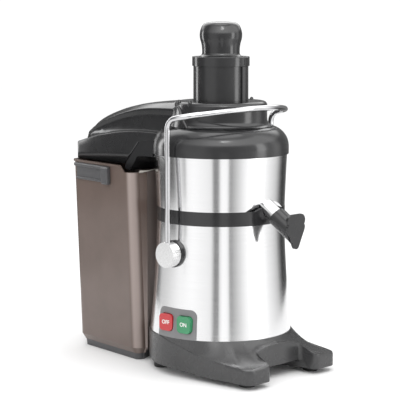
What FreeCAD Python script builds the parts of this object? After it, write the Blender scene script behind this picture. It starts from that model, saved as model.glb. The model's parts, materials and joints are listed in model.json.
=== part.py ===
import FreeCAD, Part
import math
import os

import Sketcher
from FreeCAD import Placement, Rotation, Vector

# Centrifugal juicer, a bench-top kitchen machine, in millimetres.
# Frame: +Z up, the juice spout points along -Y, the pulp bin stands at +Y,
# X is the machine's plane of symmetry.  The origin is at the middle of the
# footprint box on the bench.  Every sub-part is drawn about the motor spindle
# and its Placement then carries it to spindle_y.

DIMENSIONS = {
    "spindle_y": -55.25,
    # base
    "base_bottom_z": 7.4, "deck_z": 57.0, "base_radius": 105.2, "base_bore": 88.0,
    "leg_tip_y": -146.0, "leg_outer_x": 93.0, "leg_inner_x": 47.0,
    "leg_root_x": 104.5, "leg_root_y": -12.0, "recess_y": -116.0, "recess_top_z": 18.0,
    "tip_corner": 12.0, "tip_inner_corner": 8.0,
    "leg_tip_z": 28.0, "leg_dip_y": -110.0, "leg_dip_z": 30.5, "slope_radius": 350.0,
    "slope_end_y": 22.0, "shoulder_foot_radius": 128.0, "shoulder_foot_z": 33.0,
    "shoulder_curve": 40.0, "gallery_inside": 3.0, "gallery_outside": 13.0, "deck_thick": 4.0,
    "arch_front_y": -118.0, "arch_rear_y": -96.0,
    "gland_stem_radius": 7.0, "gland_flange_radius": 10.0, "gland_bore": 3.6,
    "gland_flange_at": 105.4, "plate_thick": 2.5, "vent_from": 24.0, "vent_to": 48.0,
    "vent_half": 2.0, "foot_radius": 11.2, "foot_top_radius": 12.4,
    "front_foot_x": 68.2, "front_foot_y": -117.5, "rear_foot_x": 69.1, "rear_foot_y": 53.3,
    "screw_radius": 4.0, "screw_circle": 78.0, "rear_screw_x": 30.0, "rear_screw_y": 76.0,
    # motor housing
    "housing_top_z": 219.5, "housing_foot_radius": 103.6, "housing_top_radius": 93.4,
    "housing_flare": 2400.0, "sheet_wall": 1.2,
    "ring_top_z": 239.7, "ring_radius": 94.1, "ring_bore": 30.0, "ring_floor_z": 225.0,
    "ring_wall": 3.0, "ring_top_wall": 2.0, "spout_notch": 17.0,
    "louvre_z": 75.0, "louvre_pitch": 9.0, "louvre_slot": 3.0, "louvre_width": 60.0,
    # bowl
    "bowl_top_z": 315.9, "bowl_floor_radius": 93.9, "bowl_top_radius": 97.0,
    "chimney_radius": 26.0, "chimney_top_z": 258.0, "bowl_curve": 3000.0, "bowl_step": 6.0,
    "bowl_step_out": 0.2, "gasket_width": 2.6, "gasket_height": 5.0,
    # lid
    "lid_radius": 99.3, "lid_shoulder_z": 326.0, "lid_shoulder_radius": 30.0, "lid_wall": 3.0,
    "drum_radius": 67.6, "drum_top_z": 391.5, "drum_edge": 6.0,
    "tube_radius": 40.0, "tube_bore": 37.5, "tube_top_z": 442.0, "tube_foot_z": 285.0,
    # spout
    "spout_radius": 11.0, "spout_bore": 9.8, "spout_drop": 32.5,
    "spout_end_y": -120.6, "spout_end_z": 226.8, "spout_length": 46.0,
    "facet_reach": 72.3,
    "cap_radius": 14.0, "cap_bore": 11.4, "cap_plate_y": -144.0, "cap_plate": 4.0,
    "cap_half_width": 18.0, "cap_tip_radius": 6.0, "cap_tip_z": 195.6, "cap_top_z": 239.0,
    # motor and rotor
    "stator_radius": 55.0, "stator_foot_z": 108.0, "stator_top_z": 166.0,
    "bell_foot_z": 86.0, "bell_top_z": 192.0, "rotor_radius": 31.0,
    "shaft_radius": 6.0, "shaft_foot_z": 70.0, "shaft_top_z": 278.0,
    "bearing_radius": 16.0, "bearing_width": 11.0, "mount_plate": 3.0,
    "mount_circle": 70.0, "mount_radius": 9.0, "mount_disc": 82.0, "bolt_circle": 59.0,
    "bolt_radius": 2.5, "bolt_head_radius": 5.0, "bolt_head": 4.0, "bolt_tail": 6.0,
    "coil_height": 12.0, "bell_wall": 4.0, "air_gap": 0.6,
    "seal_foot_z": 225.0, "seal_step_z": 229.0, "seal_top_z": 234.0, "seal_step_radius": 24.0,
    "fan_radius": 46.0, "fan_hub": 14.0, "fan_foot_z": 73.0, "fan_plate_z": 81.5,
    "blade_from": 12.0, "blade_length": 33.0, "blade_thick": 1.5, "blade_height": 9.0,
    "disc_z": 266.0, "disc_radius": 57.0, "basket_top_z": 336.0, "basket_top_radius": 87.0,
    "basket_foot_radius": 60.0, "basket_wall": 1.0, "basket_rim": 6.0, "basket_floor": 2.0,
    "coupling_foot_z": 237.0, "coupling_top_z": 262.0, "coupling_radius": 22.0,
    "grater_thick": 1.5, "grater_hub": 4.0, "nut_radius": 11.0, "nut_neck": 8.0,
    "nut_head_z": 279.0,
    # bail
    "pivot_z": 177.4, "arm_x": 108.4, "rod_radius": 4.0, "bend_radius": 17.0,
    "bend_z": 355.0, "loop_tilt": 11.3, "loop_side_radius": 35.0, "loop_reach": 76.5,
    "knob_radius": 18.1, "knob_face_x": 114.8, "knob_width": 16.0,
    "bush_radius": 19.5, "bush_face_x": 98.4, "bush_inner_x": 84.0, "pin_radius": 5.0,
    "pin_end_x": 74.0, "rod_end_z": 185.0, "cam_x": -82.0, "cam_radius": 14.0, "cam_thick": 5.0,
    "cam_flat": 8.0,
    # pusher
    "pusher_radius": 37.1, "collar_radius": 41.7, "collar_top_z": 455.9, "total_z": 506.2,
    "dome_radius": 20.0, "dome_rise": 1.4, "pusher_wall": 3.0, "knob_foot": 31.0,
    "knob_neck": 27.3, "knob_swell": 29.7, "knob_swell_z": 479.0, "knob_brow": 28.2,
    "knob_brow_z": 498.0, "knob_room": 24.0,
    # pulp bin
    "bin_rim_z": 294.0, "bin_floor_z": 10.0, "bin_front_y": 98.0, "bin_rear_y": 252.0,
    "bin_front_x": 88.0, "bin_rear_x": 70.0, "bin_draft": 12.0, "bin_wall": 2.4,
    "bin_nest_radius": 112.0, "bin_nest_x": 58.0,
    "bin_front_corner": 16.0, "bin_rear_corner": 12.0, "dip_z": 284.4,
    "bin_chamfer": 9.0, "bin_chamfer_inset": 5.0, "bin_lip": 3.0, "bin_lip_out": 2.0,
    "front_taper": 1.2, "rear_taper": 1.0,
    # pulp hood
    "hood_foot_z": 295.5, "hood_wall": 3.0,
    # controls
    "panel_turn": 5.0, "panel_angle": 19.6, "panel_top_z": 99.5, "panel_proud": 1.2,
    "panel_corner": 10.0, "button_wide": 24.2, "button_high": 24.4, "button_z": 78.2,
    "button_pitch": 33.0, "button_face": 104.8, "button_deep": 11.0, "button_corner": 6.0,
    }

doc = FreeCAD.newDocument("CentrifugalJuicer")
sheet = doc.addObject("Spreadsheet::Sheet", "Dims")
for row, (alias, number) in enumerate(DIMENSIONS.items(), start=1):
    sheet.set(f"A{row}", alias)
    sheet.set(f"B{row}", str(number))
    sheet.setAlias(f"B{row}", alias)
doc.recompute()

subparts = []


# --- sizes that carry their sheet expression --------------------------------

class Size:
    """A number together with the sheet expression that gives it."""

    def __init__(self, value, text):
        self.value = value
        self.text = text

    def __add__(self, other):
        return joined(self, "+", size(other), self.value + size(other).value)

    def __sub__(self, other):
        return joined(self, "-", size(other), self.value - size(other).value)

    def __mul__(self, other):
        return joined(self, "*", size(other), self.value * size(other).value)

    def __truediv__(self, other):
        return joined(self, "/", size(other), self.value / size(other).value)

    def __radd__(self, other):
        return size(other) + self

    def __rsub__(self, other):
        return size(other) - self

    def __rmul__(self, other):
        return size(other) * self

    def __neg__(self):
        return size(0) - self


def joined(left, sign, right, value):
    return Size(value, f"({left.text} {sign} {right.text})")


def size(item):
    """Turn a plain number into a Size; a Size passes through."""
    if isinstance(item, Size):
        return item
    return Size(float(item), f"({float(item):.6f})")


def dim(alias):
    """The driving dimension with this alias."""
    return Size(DIMENSIONS[alias], f"Dims.{alias}")


def bind(obj, properties):
    """Bind properties of an object to their sheet expressions."""
    for name, item in properties.items():
        obj.setExpression(name, size(item).text)


def subpart(obj, label, own_y=0):
    """Name a finished sub-part and carry it to the spindle; own_y is its own offset from it."""
    obj.Label = label
    bind(obj, {"Placement.Base.y": dim("spindle_y") + own_y})
    subparts.append(obj)
    return obj


# --- sketches ---------------------------------------------------------------

def at(u, v):
    """A straight run to the corner (u, v)."""
    return size(u), size(v), None, 0


def arc_to(u, v, radius, turn):
    """An arc to (u, v); turn 1 keeps its centre on the left of the travel, -1 on the right."""
    return size(u), size(v), size(radius), turn


def arc_between(start, end, radius, turn):
    """The minor arc from start to end as a counter-clockwise circle arc."""
    chord = end - start
    middle = (start + end) * 0.5
    left = Vector(-chord.y, chord.x, 0) / chord.Length
    depth = math.sqrt(max(radius * radius - chord.Length * chord.Length / 4, 0))
    centre = middle + left * (depth * turn)
    first, last = (start, end) if turn > 0 else (end, start)
    angle_first = math.atan2(first.y - centre.y, first.x - centre.x)
    angle_last = math.atan2(last.y - centre.y, last.x - centre.x)
    if angle_last < angle_first:
        angle_last += 2 * math.pi
    circle = Part.Circle(centre, Vector(0, 0, 1), radius)
    return Part.ArcOfCircle(circle, angle_first, angle_last)


def pin(sketch, geometry, point, u, v):
    """Hold one point of a sketch at the expressions (u, v)."""
    axes = (("DistanceX", u, -2), ("DistanceY", v, -1))
    for kind, item, axis in axes:
        if abs(item.value) < 1e-7:
            sketch.addConstraint(Sketcher.Constraint("PointOnObject", geometry, point, axis))
            continue
        index = sketch.addConstraint(
            Sketcher.Constraint(kind, -1, 1, geometry, point, item.value))
        sketch.setExpression(f"Constraints[{index}]", item.text)


def loop(sketch, corners):
    """Draw a closed loop through corners held by sheet expressions."""
    ends = [Vector(u.value, v.value, 0) for u, v, radius, turn in corners]
    base = sketch.GeometryCount
    count = len(corners)
    tails = []
    heads = []
    for index, (u, v, radius, turn) in enumerate(corners):
        start, end = ends[index - 1], ends[index]
        if radius is None:
            sketch.addGeometry(Part.LineSegment(start, end), False)
        else:
            sketch.addGeometry(arc_between(start, end, radius.value, turn), False)
        tails.append(2 if turn < 0 else 1)
        heads.append(1 if turn < 0 else 2)
    joints = []
    for index in range(count):
        after = (index + 1) % count
        joints.append(Sketcher.Constraint(
            "Coincident", base + index, heads[index], base + after, tails[after]))
    sketch.addConstraint(joints)
    for index, (u, v, radius, turn) in enumerate(corners):
        pin(sketch, base + index, heads[index], u, v)
        if radius is not None:
            row = sketch.addConstraint(
                Sketcher.Constraint("Radius", base + index, radius.value))
            sketch.setExpression(f"Constraints[{row}]", radius.text)


def ring(sketch, radius, u=0, v=0):
    """Draw a circle held by sheet expressions."""
    radius, u, v = size(radius), size(u), size(v)
    centre = Vector(u.value, v.value, 0)
    index = sketch.addGeometry(Part.Circle(centre, Vector(0, 0, 1), radius.value), False)
    pin(sketch, index, 3, u, v)
    row = sketch.addConstraint(Sketcher.Constraint("Radius", index, radius.value))
    sketch.setExpression(f"Constraints[{row}]", radius.text)


def new_body(name):
    return doc.addObject("PartDesign::Body", name)


def sketch_on(body, role, name, offset=0):
    """A sketch on one of the body's origin planes, lifted along its normal by offset."""
    sketch = body.newObject("Sketcher::SketchObject", name)
    plane = [item for item in body.Origin.OriginFeatures if item.Role == role][0]
    sketch.AttachmentSupport = [(plane, "")]
    sketch.MapMode = "FlatFace"
    bind(sketch, {"AttachmentOffset.Base.z": offset})
    return sketch


def pad(body, sketch, length, name, symmetric=False):
    feature = body.newObject("PartDesign::Pad", name)
    feature.Profile = sketch
    feature.SideType = "Symmetric" if symmetric else "One side"
    bind(feature, {"Length": length})
    return feature


def pocket(body, sketch, name, length=None, symmetric=False, reverse=False):
    """Cut a sketch away, through everything unless a length is given."""
    feature = body.newObject("PartDesign::Pocket", name)
    feature.Profile = sketch
    feature.SideType = "Symmetric" if symmetric else "One side"
    feature.Reversed = reverse
    if length is None:
        feature.Type = "ThroughAll"
    else:
        bind(feature, {"Length": length})
    return feature


def revolve(body, sketch, name, cut=False):
    kind = "PartDesign::Groove" if cut else "PartDesign::Revolution"
    feature = body.newObject(kind, name)
    feature.Profile = sketch
    feature.ReferenceAxis = (sketch, ["V_Axis"])
    feature.Angle = 360
    return feature


def turned(label, corners):
    """A body turned about the spindle from one (radius, height) outline."""
    body = new_body(label)
    sketch = sketch_on(body, "XZ_Plane", f"{label}_outline")
    loop(sketch, corners)
    revolve(body, sketch, f"{label}_turn")
    return body


# --- Part primitives and booleans -------------------------------------------

def cylinder(name, radius, height, x=0, y=0, z=0, axis=None):
    """A cylinder standing at (x, y, z) along axis."""
    item = doc.addObject("Part::Cylinder", name)
    if axis is not None:
        item.Placement = Placement(Vector(), Rotation(Vector(0, 0, 1), Vector(*axis)))
    bind(item, {"Radius": radius, "Height": height, "Placement.Base.x": x,
                "Placement.Base.y": y, "Placement.Base.z": z})
    return item


def cone(name, radius_foot, radius_top, height, x=0, y=0, z=0, axis=None):
    item = doc.addObject("Part::Cone", name)
    if axis is not None:
        item.Placement = Placement(Vector(), Rotation(Vector(0, 0, 1), Vector(*axis)))
    bind(item, {"Radius1": radius_foot, "Radius2": radius_top, "Height": height,
                "Placement.Base.x": x, "Placement.Base.y": y, "Placement.Base.z": z})
    return item


def block(name, length, width, height, x=0, y=0, z=0):
    """A box whose lowest corner is (x, y, z)."""
    item = doc.addObject("Part::Box", name)
    bind(item, {"Length": length, "Width": width, "Height": height,
                "Placement.Base.x": x, "Placement.Base.y": y, "Placement.Base.z": z})
    return item


def cut(name, base, *tools):
    """base with every tool taken away."""
    tool = tools[0] if len(tools) == 1 else fuse(f"{name}_tools", *tools)
    item = doc.addObject("Part::Cut", name)
    item.Base = base
    item.Tool = tool
    return item


def fuse(name, *pieces):
    item = doc.addObject("Part::MultiFuse", name)
    item.Shapes = list(pieces)
    return item


def group(name, pieces):
    """Separate solids kept together in one sub-part."""
    item = doc.addObject("Part::Compound", name)
    item.Links = list(pieces)
    return item


def sector(name, profile, angle_from, angle_to):
    """Part of a turned profile (radius, height) between two angles about the spindle."""
    points = [Vector(radius, 0, height) for radius, height in profile]
    face = Part.Face(Part.makePolygon(points + points[:1]))
    solid = face.revolve(Vector(), Vector(0, 0, 1), angle_to - angle_from)
    solid.rotate(Vector(), Vector(0, 0, 1), angle_from)
    item = doc.addObject("Part::Feature", name)
    item.Shape = solid
    return item


def shaped(name, shape):
    """A Part::Feature around a shape that the primitives do not reach."""
    item = doc.addObject("Part::Feature", name)
    item.Shape = shape
    return item


# --- base ---------------------------------------------------------------------

def base_plan(sketch):
    """Plan of the base: round behind, two splayed legs with a recess for the cup in front."""
    tip, outer, inner = dim("leg_tip_y"), dim("leg_outer_x"), dim("leg_inner_x")
    root_x, root_y = dim("leg_root_x"), dim("leg_root_y")
    round_out, round_in = dim("tip_corner"), dim("tip_inner_corner")
    rear = dim("base_radius")
    loop(sketch, [
        at(-inner, dim("recess_y")),
        at(inner, dim("recess_y")),
        at(inner, tip + round_in),
        arc_to(inner + round_in, tip, round_in, 1),
        at(outer - round_out, tip),
        arc_to(outer, tip + round_out, round_out, 1),
        at(root_x, root_y),
        arc_to(0, rear, rear, 1),
        arc_to(-root_x, root_y, rear, 1),
        at(-outer, tip + round_out),
        arc_to(round_out - outer, tip, round_out, 1),
        at(-inner - round_in, tip),
        arc_to(-inner, tip + round_in, round_in, 1),
    ])


def make_base_housing():
    body = new_body("base_moulding")
    bottom, deck, bore = dim("base_bottom_z"), dim("deck_z"), dim("base_bore")
    plan = sketch_on(body, "XY_Plane", "base_plan", bottom)
    base_plan(plan)
    pad(body, plan, deck - bottom, "base_block")

    # The legs fall away in front of the motor housing in one long hollow curve.
    slope = sketch_on(body, "YZ_Plane", "leg_slope")
    loop(slope, [
        at(-160, 75), at(-160, dim("leg_tip_z")), at(dim("leg_dip_y"), dim("leg_dip_z")),
        arc_to(dim("slope_end_y"), deck + 0.2, dim("slope_radius"), 1),
        at(dim("slope_end_y"), 75),
    ])
    pocket(body, slope, "leg_slope_cut", symmetric=True)

    # A shoulder carries the housing all round and runs out into the legs.
    shoulder = sketch_on(body, "XZ_Plane", "shoulder_outline")
    loop(shoulder, [
        at(bore, bottom), at(dim("shoulder_foot_radius"), bottom),
        at(dim("shoulder_foot_radius"), dim("shoulder_foot_z")),
        arc_to(dim("base_radius"), deck, dim("shoulder_curve"), 1), at(bore, deck),
    ])
    revolve(body, shoulder, "shoulder")
    waste = sketch_on(body, "XY_Plane", "outside_plan", bottom)
    loop(waste, [at(200, -200), at(200, 200), at(-200, 200), at(-200, -200)])
    base_plan(waste)
    pocket(body, waste, "trim_to_plan", reverse=True)

    well = sketch_on(body, "XY_Plane", "motor_well", bottom)
    ring(well, bore)
    pocket(body, well, "motor_well_cut", reverse=True)
    gallery = sketch_on(body, "XY_Plane", "wall_gallery", bottom)
    ring(gallery, bore + dim("gallery_outside"))
    ring(gallery, bore + dim("gallery_inside"))
    pocket(body, gallery, "wall_gallery_cut", length=deck - bottom - dim("deck_thick"),
           reverse=True)
    arch = sketch_on(body, "XY_Plane", "front_arch", bottom)
    inner, front, rear = dim("leg_inner_x"), dim("arch_front_y"), dim("arch_rear_y")
    loop(arch, [at(-inner, front), at(inner, front), at(inner, rear), at(-inner, rear)])
    pocket(body, arch, "front_arch_cut", length=dim("recess_top_z") - bottom, reverse=True)
    return body


GLAND_ANGLE = 25.0
GLAND_HEIGHT = 24.0


def gland_axis():
    angle = math.radians(GLAND_ANGLE)
    return math.cos(angle), math.sin(angle), 0


def make_base():
    housing = make_base_housing()
    east, north, up = gland_axis()

    def gland_rod(name, radius, length, reach):
        return cylinder(name, radius, length, reach * east, reach * north, GLAND_HEIGHT,
                        (east, north, up))

    stem_radius, flange_at = dim("gland_stem_radius"), dim("gland_flange_at")
    hole = gland_rod("gland_hole", stem_radius, 30, 84)
    subpart(cut("base_housing_cut", housing, hole), "base_housing")
    stem = gland_rod("gland_stem", stem_radius, 24, dim("base_bore"))
    flange = gland_rod("gland_flange", dim("gland_flange_radius"), 4, flange_at)
    bore = gland_rod("gland_bore", dim("gland_bore"), 40, 80)
    subpart(cut("gland_cut", fuse("gland_body", stem, flange), bore), "cable_gland")


def make_underside():
    """The vented bottom plate, the four rubber feet and the base screws."""
    plate = new_body("bottom_plate")
    outline = sketch_on(plate, "XY_Plane", "bottom_plate_outline", dim("base_bottom_z"))
    ring(outline, dim("base_bore"))
    pad(plate, outline, dim("plate_thick"), "bottom_plate_pad")
    vent = sketch_on(plate, "XY_Plane", "vent_outline", dim("base_bottom_z"))
    near, far, half = dim("vent_from"), dim("vent_to"), dim("vent_half")
    loop(vent, [at(near, -half), at(far, -half), at(far, half), at(near, half)])
    slot = pocket(plate, vent, "vent", reverse=True)
    vents = plate.newObject("PartDesign::PolarPattern", "vents")
    vents.Originals = [slot]
    vents.Axis = (vent, ["N_Axis"])
    vents.Angle = 360
    vents.Occurrences = 12
    plate.Tip = vents
    subpart(plate, "base_plate")

    feet = []
    for side in (-1, 1):
        for end in ("front", "rear"):
            name = f"foot_{'left' if side < 0 else 'right'}_{end}"
            feet.append(cone(name, dim("foot_radius"), dim("foot_top_radius"),
                             dim("base_bottom_z"), dim(f"{end}_foot_x") * side,
                             dim(f"{end}_foot_y"), 0))
    subpart(group("feet", feet), "rubber_feet")

    screws = []
    for turn in range(4):
        angle = math.radians(45 + 90 * turn)
        circle, head = dim("screw_circle"), 2.0
        x, y = circle * math.cos(angle), circle * math.sin(angle)
        if turn < 2:
            x, y = dim("rear_screw_x") * (1 - 2 * turn), dim("rear_screw_y")
        screws.append(cylinder(f"base_screw_{turn}", dim("screw_radius"), head, x, y,
                               dim("base_bottom_z") - head))
    subpart(group("screws", screws), "base_screws")


# --- motor housing --------------------------------------------------------------

def make_housing():
    foot_z, top_z = dim("deck_z"), dim("housing_top_z")
    foot_r, top_r = dim("housing_foot_radius"), dim("housing_top_radius")
    flare, wall = dim("housing_flare"), dim("sheet_wall")
    shell = turned("housing_sheet", [
        at(foot_r, foot_z),
        arc_to(top_r, top_z, flare, -1),
        at(top_r - wall, top_z),
        arc_to(foot_r - wall, foot_z, flare - wall, 1),
    ])
    pivot, bush = dim("pivot_z"), dim("bush_radius")
    pivots = cylinder("bush_holes", bush, 240, -120, 0, pivot, (1, 0, 0))
    window = window_block("panel_window")
    louvres = []
    for row in range(5):
        height = dim("louvre_z") + dim("louvre_pitch") * row
        louvres.append(block(f"louvre_{row}", dim("louvre_width"), 20, dim("louvre_slot"),
                             dim("louvre_width") / -2, 88, height))
    subpart(cut("housing_cut", shell, pivots, window, *louvres), "motor_housing_shell")

    top, ring_r = dim("ring_top_z"), dim("ring_radius")
    floor, hub, wall = dim("ring_floor_z"), dim("ring_bore"), dim("ring_wall")
    under = top - dim("ring_top_wall")
    deck = turned("ring_deck", [
        at(hub, top_z), at(ring_r, top_z), at(ring_r, top), at(ring_r - wall, top),
        at(ring_r - wall, floor), at(hub + wall, floor), at(hub + wall, under), at(hub, under),
    ])
    notch = spout_rod("spout_notch", dim("spout_notch"), -52, 90)
    subpart(cut("housing_ring_cut", deck, notch), "housing_ring")


# --- spout ------------------------------------------------------------------------

def spout_axis():
    drop = math.radians(DIMENSIONS["spout_drop"])
    return 0, -math.cos(drop), -math.sin(drop)


def spout_point(along):
    """(y, z) of a point on the spout axis, along millimetres past its open end."""
    drop = math.radians(DIMENSIONS["spout_drop"])
    y = dim("spout_end_y") - along * math.cos(drop)
    z = dim("spout_end_z") - along * math.sin(drop)
    return y, z


def spout_half_space(name, reach, depth=60):
    """A slab square to the spout axis; its near face is reach along the axis from the spindle."""
    side = 120.0
    slab = Part.makeBox(side, side, abs(depth))
    slab.translate(Vector(-side / 2, -side / 2, reach.value + min(depth, 0)))
    slab.rotate(Vector(), Vector(1, 0, 0), 90 + DIMENSIONS["spout_drop"])
    slab.translate(Vector(0, 0, DIMENSIONS["ring_top_z"]))
    return shaped(name, slab)


def spout_rod(name, radius, start, length):
    y, z = spout_point(start)
    return cylinder(name, radius, length, 0, y, z, spout_axis())


def make_spout():
    length = dim("spout_length")
    start = -DIMENSIONS["spout_length"]
    outer = spout_rod("spout_outer", dim("spout_radius"), start, length)
    inner = spout_rod("spout_inner", dim("spout_bore"), start - 1, length + 2)
    room = spout_half_space("spout_room", dim("facet_reach") - dim("sheet_wall"), -60)
    subpart(cut("spout_cut", outer, inner, room), "spout_tube")


def make_spout_cap():
    """Sleeve on the spout's end that carries an upright tear-drop lever plate."""
    plate_y, thick = dim("cap_plate_y"), dim("cap_plate")
    half, tip_r = dim("cap_half_width"), dim("cap_tip_radius")
    tip_z, top_z = dim("cap_tip_z"), dim("cap_top_z")
    plate = new_body("cap_plate_body")
    face = sketch_on(plate, "XZ_Plane", "cap_plate_outline", -plate_y)
    loop(face, [
        at(half * 0.82, 212.0),
        arc_to(half, 221.0, 20, 1),
        arc_to(half * 0.9, 224.5, 5, 1),
        arc_to(half, 228.0, 5, 1),
        arc_to(half - 7, top_z, 9, 1),
        at(7 - half, top_z),
        arc_to(-half, 228.0, 9, 1),
        arc_to(half * -0.9, 224.5, 5, 1),
        arc_to(-half, 221.0, 5, 1),
        arc_to(half * -0.82, 212.0, 20, 1),
        at(tip_r * -0.94, tip_z - tip_r * 0.35),
        arc_to(tip_r * 0.94, tip_z - tip_r * 0.35, tip_r, 1),
    ])
    pad(plate, face, thick, "cap_plate_pad")
    sleeve = spout_rod("cap_sleeve", dim("cap_radius"), -11, 48)
    front = block("cap_sleeve_front", 60, 60, 90, -30, plate_y - 60, 170)
    bore = spout_rod("cap_bore", dim("cap_bore"), -12, 12.4)
    body = cut("cap_sleeve_cut", sleeve, front, bore)
    subpart(fuse("cap_fuse", body, plate), "spout_cap")


# --- motor ------------------------------------------------------------------------

def make_motor():
    foot, top = dim("stator_foot_z"), dim("stator_top_z")
    radius, rotor = dim("stator_radius"), dim("rotor_radius")
    bell_foot, bell_top = dim("bell_foot_z"), dim("bell_top_z")
    shaft, bearing = dim("shaft_radius"), dim("bearing_radius")
    width, wall, coil = dim("bearing_width"), dim("bell_wall"), dim("coil_height")
    gap = rotor + dim("air_gap")

    subpart(turned("stator_pack", [
        at(gap, foot), at(radius, foot), at(radius, top), at(gap, top),
    ]), "motor_stator")
    coils = []
    for name, low, high in (("lower", foot - coil, foot), ("upper", top, top + coil)):
        coils.append(turned(f"winding_{name}", [
            at(rotor + 4, low), at(radius - 6, low), at(radius - 6, high), at(rotor + 4, high),
        ]))
    subpart(group("windings", coils), "motor_windings")

    subpart(turned("bell_lower", [
        at(bearing, bell_foot), at(radius, bell_foot), at(radius, foot),
        at(radius - wall, foot), at(radius - wall, bell_foot + wall),
        at(bearing + wall, bell_foot + wall), at(bearing + wall, bell_foot + width),
        at(bearing, bell_foot + width),
    ]), "end_bell_lower")
    subpart(turned("bell_upper", [
        at(bearing, bell_top - width), at(bearing + wall, bell_top - width),
        at(bearing + wall, bell_top - wall), at(radius - wall, bell_top - wall),
        at(radius - wall, top), at(radius, top), at(radius, bell_top), at(bearing, bell_top),
    ]), "end_bell_upper")

    for name, low in (("lower", bell_foot), ("upper", bell_top - width)):
        subpart(turned(f"ball_bearing_{name}", [
            at(shaft + 0.05, low), at(bearing, low),
            at(bearing, low + width), at(shaft + 0.05, low + width),
        ]), f"bearing_{name}")


def make_motor_mounting():
    """Through bolts, the plate that hangs the motor and its four rubber mounts."""
    bell_foot, bell_top = dim("bell_foot_z"), dim("bell_top_z")
    bolt, tail, cap = dim("bolt_radius"), dim("bolt_tail"), dim("bolt_head")
    bolts = []
    spots = []
    for turn in range(4):
        angle = math.radians(45 + 90 * turn)
        x, y = dim("bolt_circle") * math.cos(angle), dim("bolt_circle") * math.sin(angle)
        spots.append((x, y))
        rod = cylinder(f"bolt_rod_{turn}", bolt, bell_top - bell_foot + tail, x, y,
                       bell_foot - tail)
        head = cylinder(f"bolt_head_{turn}", dim("bolt_head_radius"), cap, x, y,
                        bell_foot - tail - cap)
        bolts.append(fuse(f"bolt_{turn}", rod, head))
    subpart(group("through_bolts", bolts), "motor_bolts")

    thick, bearing = dim("mount_plate"), dim("bearing_radius")
    plate = cylinder("mount_disc", dim("mount_disc"), thick, 0, 0, bell_top)
    centre = cylinder("mount_centre", bearing, 20, 0, 0, bell_top - 5)
    lug_holes = []
    for turn, (x, y) in enumerate(spots):
        lug_holes.append(cylinder(f"mount_bolt_hole_{turn}", bolt, 20, x, y, bell_top - 5))
    subpart(cut("mount_cut", plate, centre, *lug_holes), "motor_mount_plate")

    mounts = []
    for turn in range(4):
        angle = math.radians(90 * turn)
        reach = dim("mount_circle")
        mounts.append(cylinder(f"mount_{turn}", dim("mount_radius"),
                               dim("housing_top_z") - bell_top - thick,
                               reach * math.cos(angle), reach * math.sin(angle),
                               bell_top + thick))
    subpart(group("mounts", mounts), "vibration_mounts")

    inner, outer, step = dim("shaft_radius") + 0.05, dim("ring_bore"), dim("seal_step_radius")
    foot_z, step_z, top_z = dim("seal_foot_z"), dim("seal_step_z"), dim("seal_top_z")
    subpart(turned("lip_seal", [
        at(inner, step_z), at(step, step_z), at(step, foot_z), at(outer, foot_z),
        at(outer, top_z), at(inner, top_z),
    ]), "shaft_seal")


def make_fan(shaft):
    """The motor's cooling fan: straight blades under a plate."""
    foot, near, thick = dim("fan_foot_z"), dim("blade_from"), dim("blade_thick")
    count = 9
    hub = cylinder("fan_hub", dim("fan_hub"), 10, 0, 0, foot)
    plate = cylinder("fan_plate", dim("fan_radius"), 1.5, 0, 0, dim("fan_plate_z"))
    bore = cylinder("fan_bore", shaft, 20, 0, 0, foot - 3)
    blades = []
    for turn in range(count):
        blade = block(f"fan_blade_{turn}", dim("blade_length"), thick, dim("blade_height"),
                      0, 0, foot + 0.5)
        angle = 360 / count * turn
        blade.Placement = Placement(Vector(), Rotation(Vector(0, 0, 1), angle))
        bind(blade, {"Placement.Base.x": near * math.cos(math.radians(angle)),
                     "Placement.Base.y": near * math.sin(math.radians(angle))})
        blades.append(blade)
    subpart(cut("fan_cut", fuse("fan_body", hub, plate, *blades), bore), "cooling_fan")


def make_rotor():
    shaft = dim("shaft_radius")
    subpart(cylinder("spindle", shaft, dim("shaft_top_z") - dim("shaft_foot_z"),
                     0, 0, dim("shaft_foot_z")), "motor_shaft")
    subpart(turned("armature", [
        at(shaft, dim("stator_foot_z")), at(dim("rotor_radius"), dim("stator_foot_z")),
        at(dim("rotor_radius"), dim("stator_top_z")), at(shaft, dim("stator_top_z")),
    ]), "rotor_core")

    make_fan(shaft)
    foot_z, top_z, wide = (dim("coupling_foot_z"), dim("coupling_top_z"),
                           dim("coupling_radius"))
    subpart(turned("coupling", [
        at(shaft, foot_z), at(wide - 3, foot_z), at(wide, foot_z + 4), at(wide, top_z),
        at(shaft, top_z),
    ]), "drive_coupling")

    low, high = dim("disc_z") - 4, dim("basket_top_z")
    foot, rim, wall = dim("basket_foot_radius"), dim("basket_top_radius"), dim("basket_wall")
    floor, band = low + dim("basket_floor"), high - dim("basket_rim")
    subpart(turned("sieve", [
        at(shaft, low), at(foot, low), at(rim, band), at(rim + 2, band),
        at(rim + 2, high), at(rim - 2, high), at(rim - 2, band + wall),
        at(foot - wall, floor), at(shaft, floor),
    ]), "filter_basket")
    disc, face, seat = dim("disc_radius"), floor + dim("grater_thick"), floor + dim("grater_hub")
    subpart(turned("grater", [
        at(shaft, floor), at(disc, floor), at(disc, face), at(18, face), at(14, seat),
        at(shaft, seat),
    ]), "grater_disc")
    nut, neck, head, end = (dim("nut_radius"), dim("nut_neck"), dim("nut_head_z"),
                            dim("shaft_top_z"))
    subpart(turned("nut", [
        at(shaft, seat), at(nut, seat), at(nut, seat + 5), at(neck, seat + 9),
        at(neck, head), at(0, head), at(0, end), at(shaft, end),
    ]), "lock_nut")


# --- controls -----------------------------------------------------------------------

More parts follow.
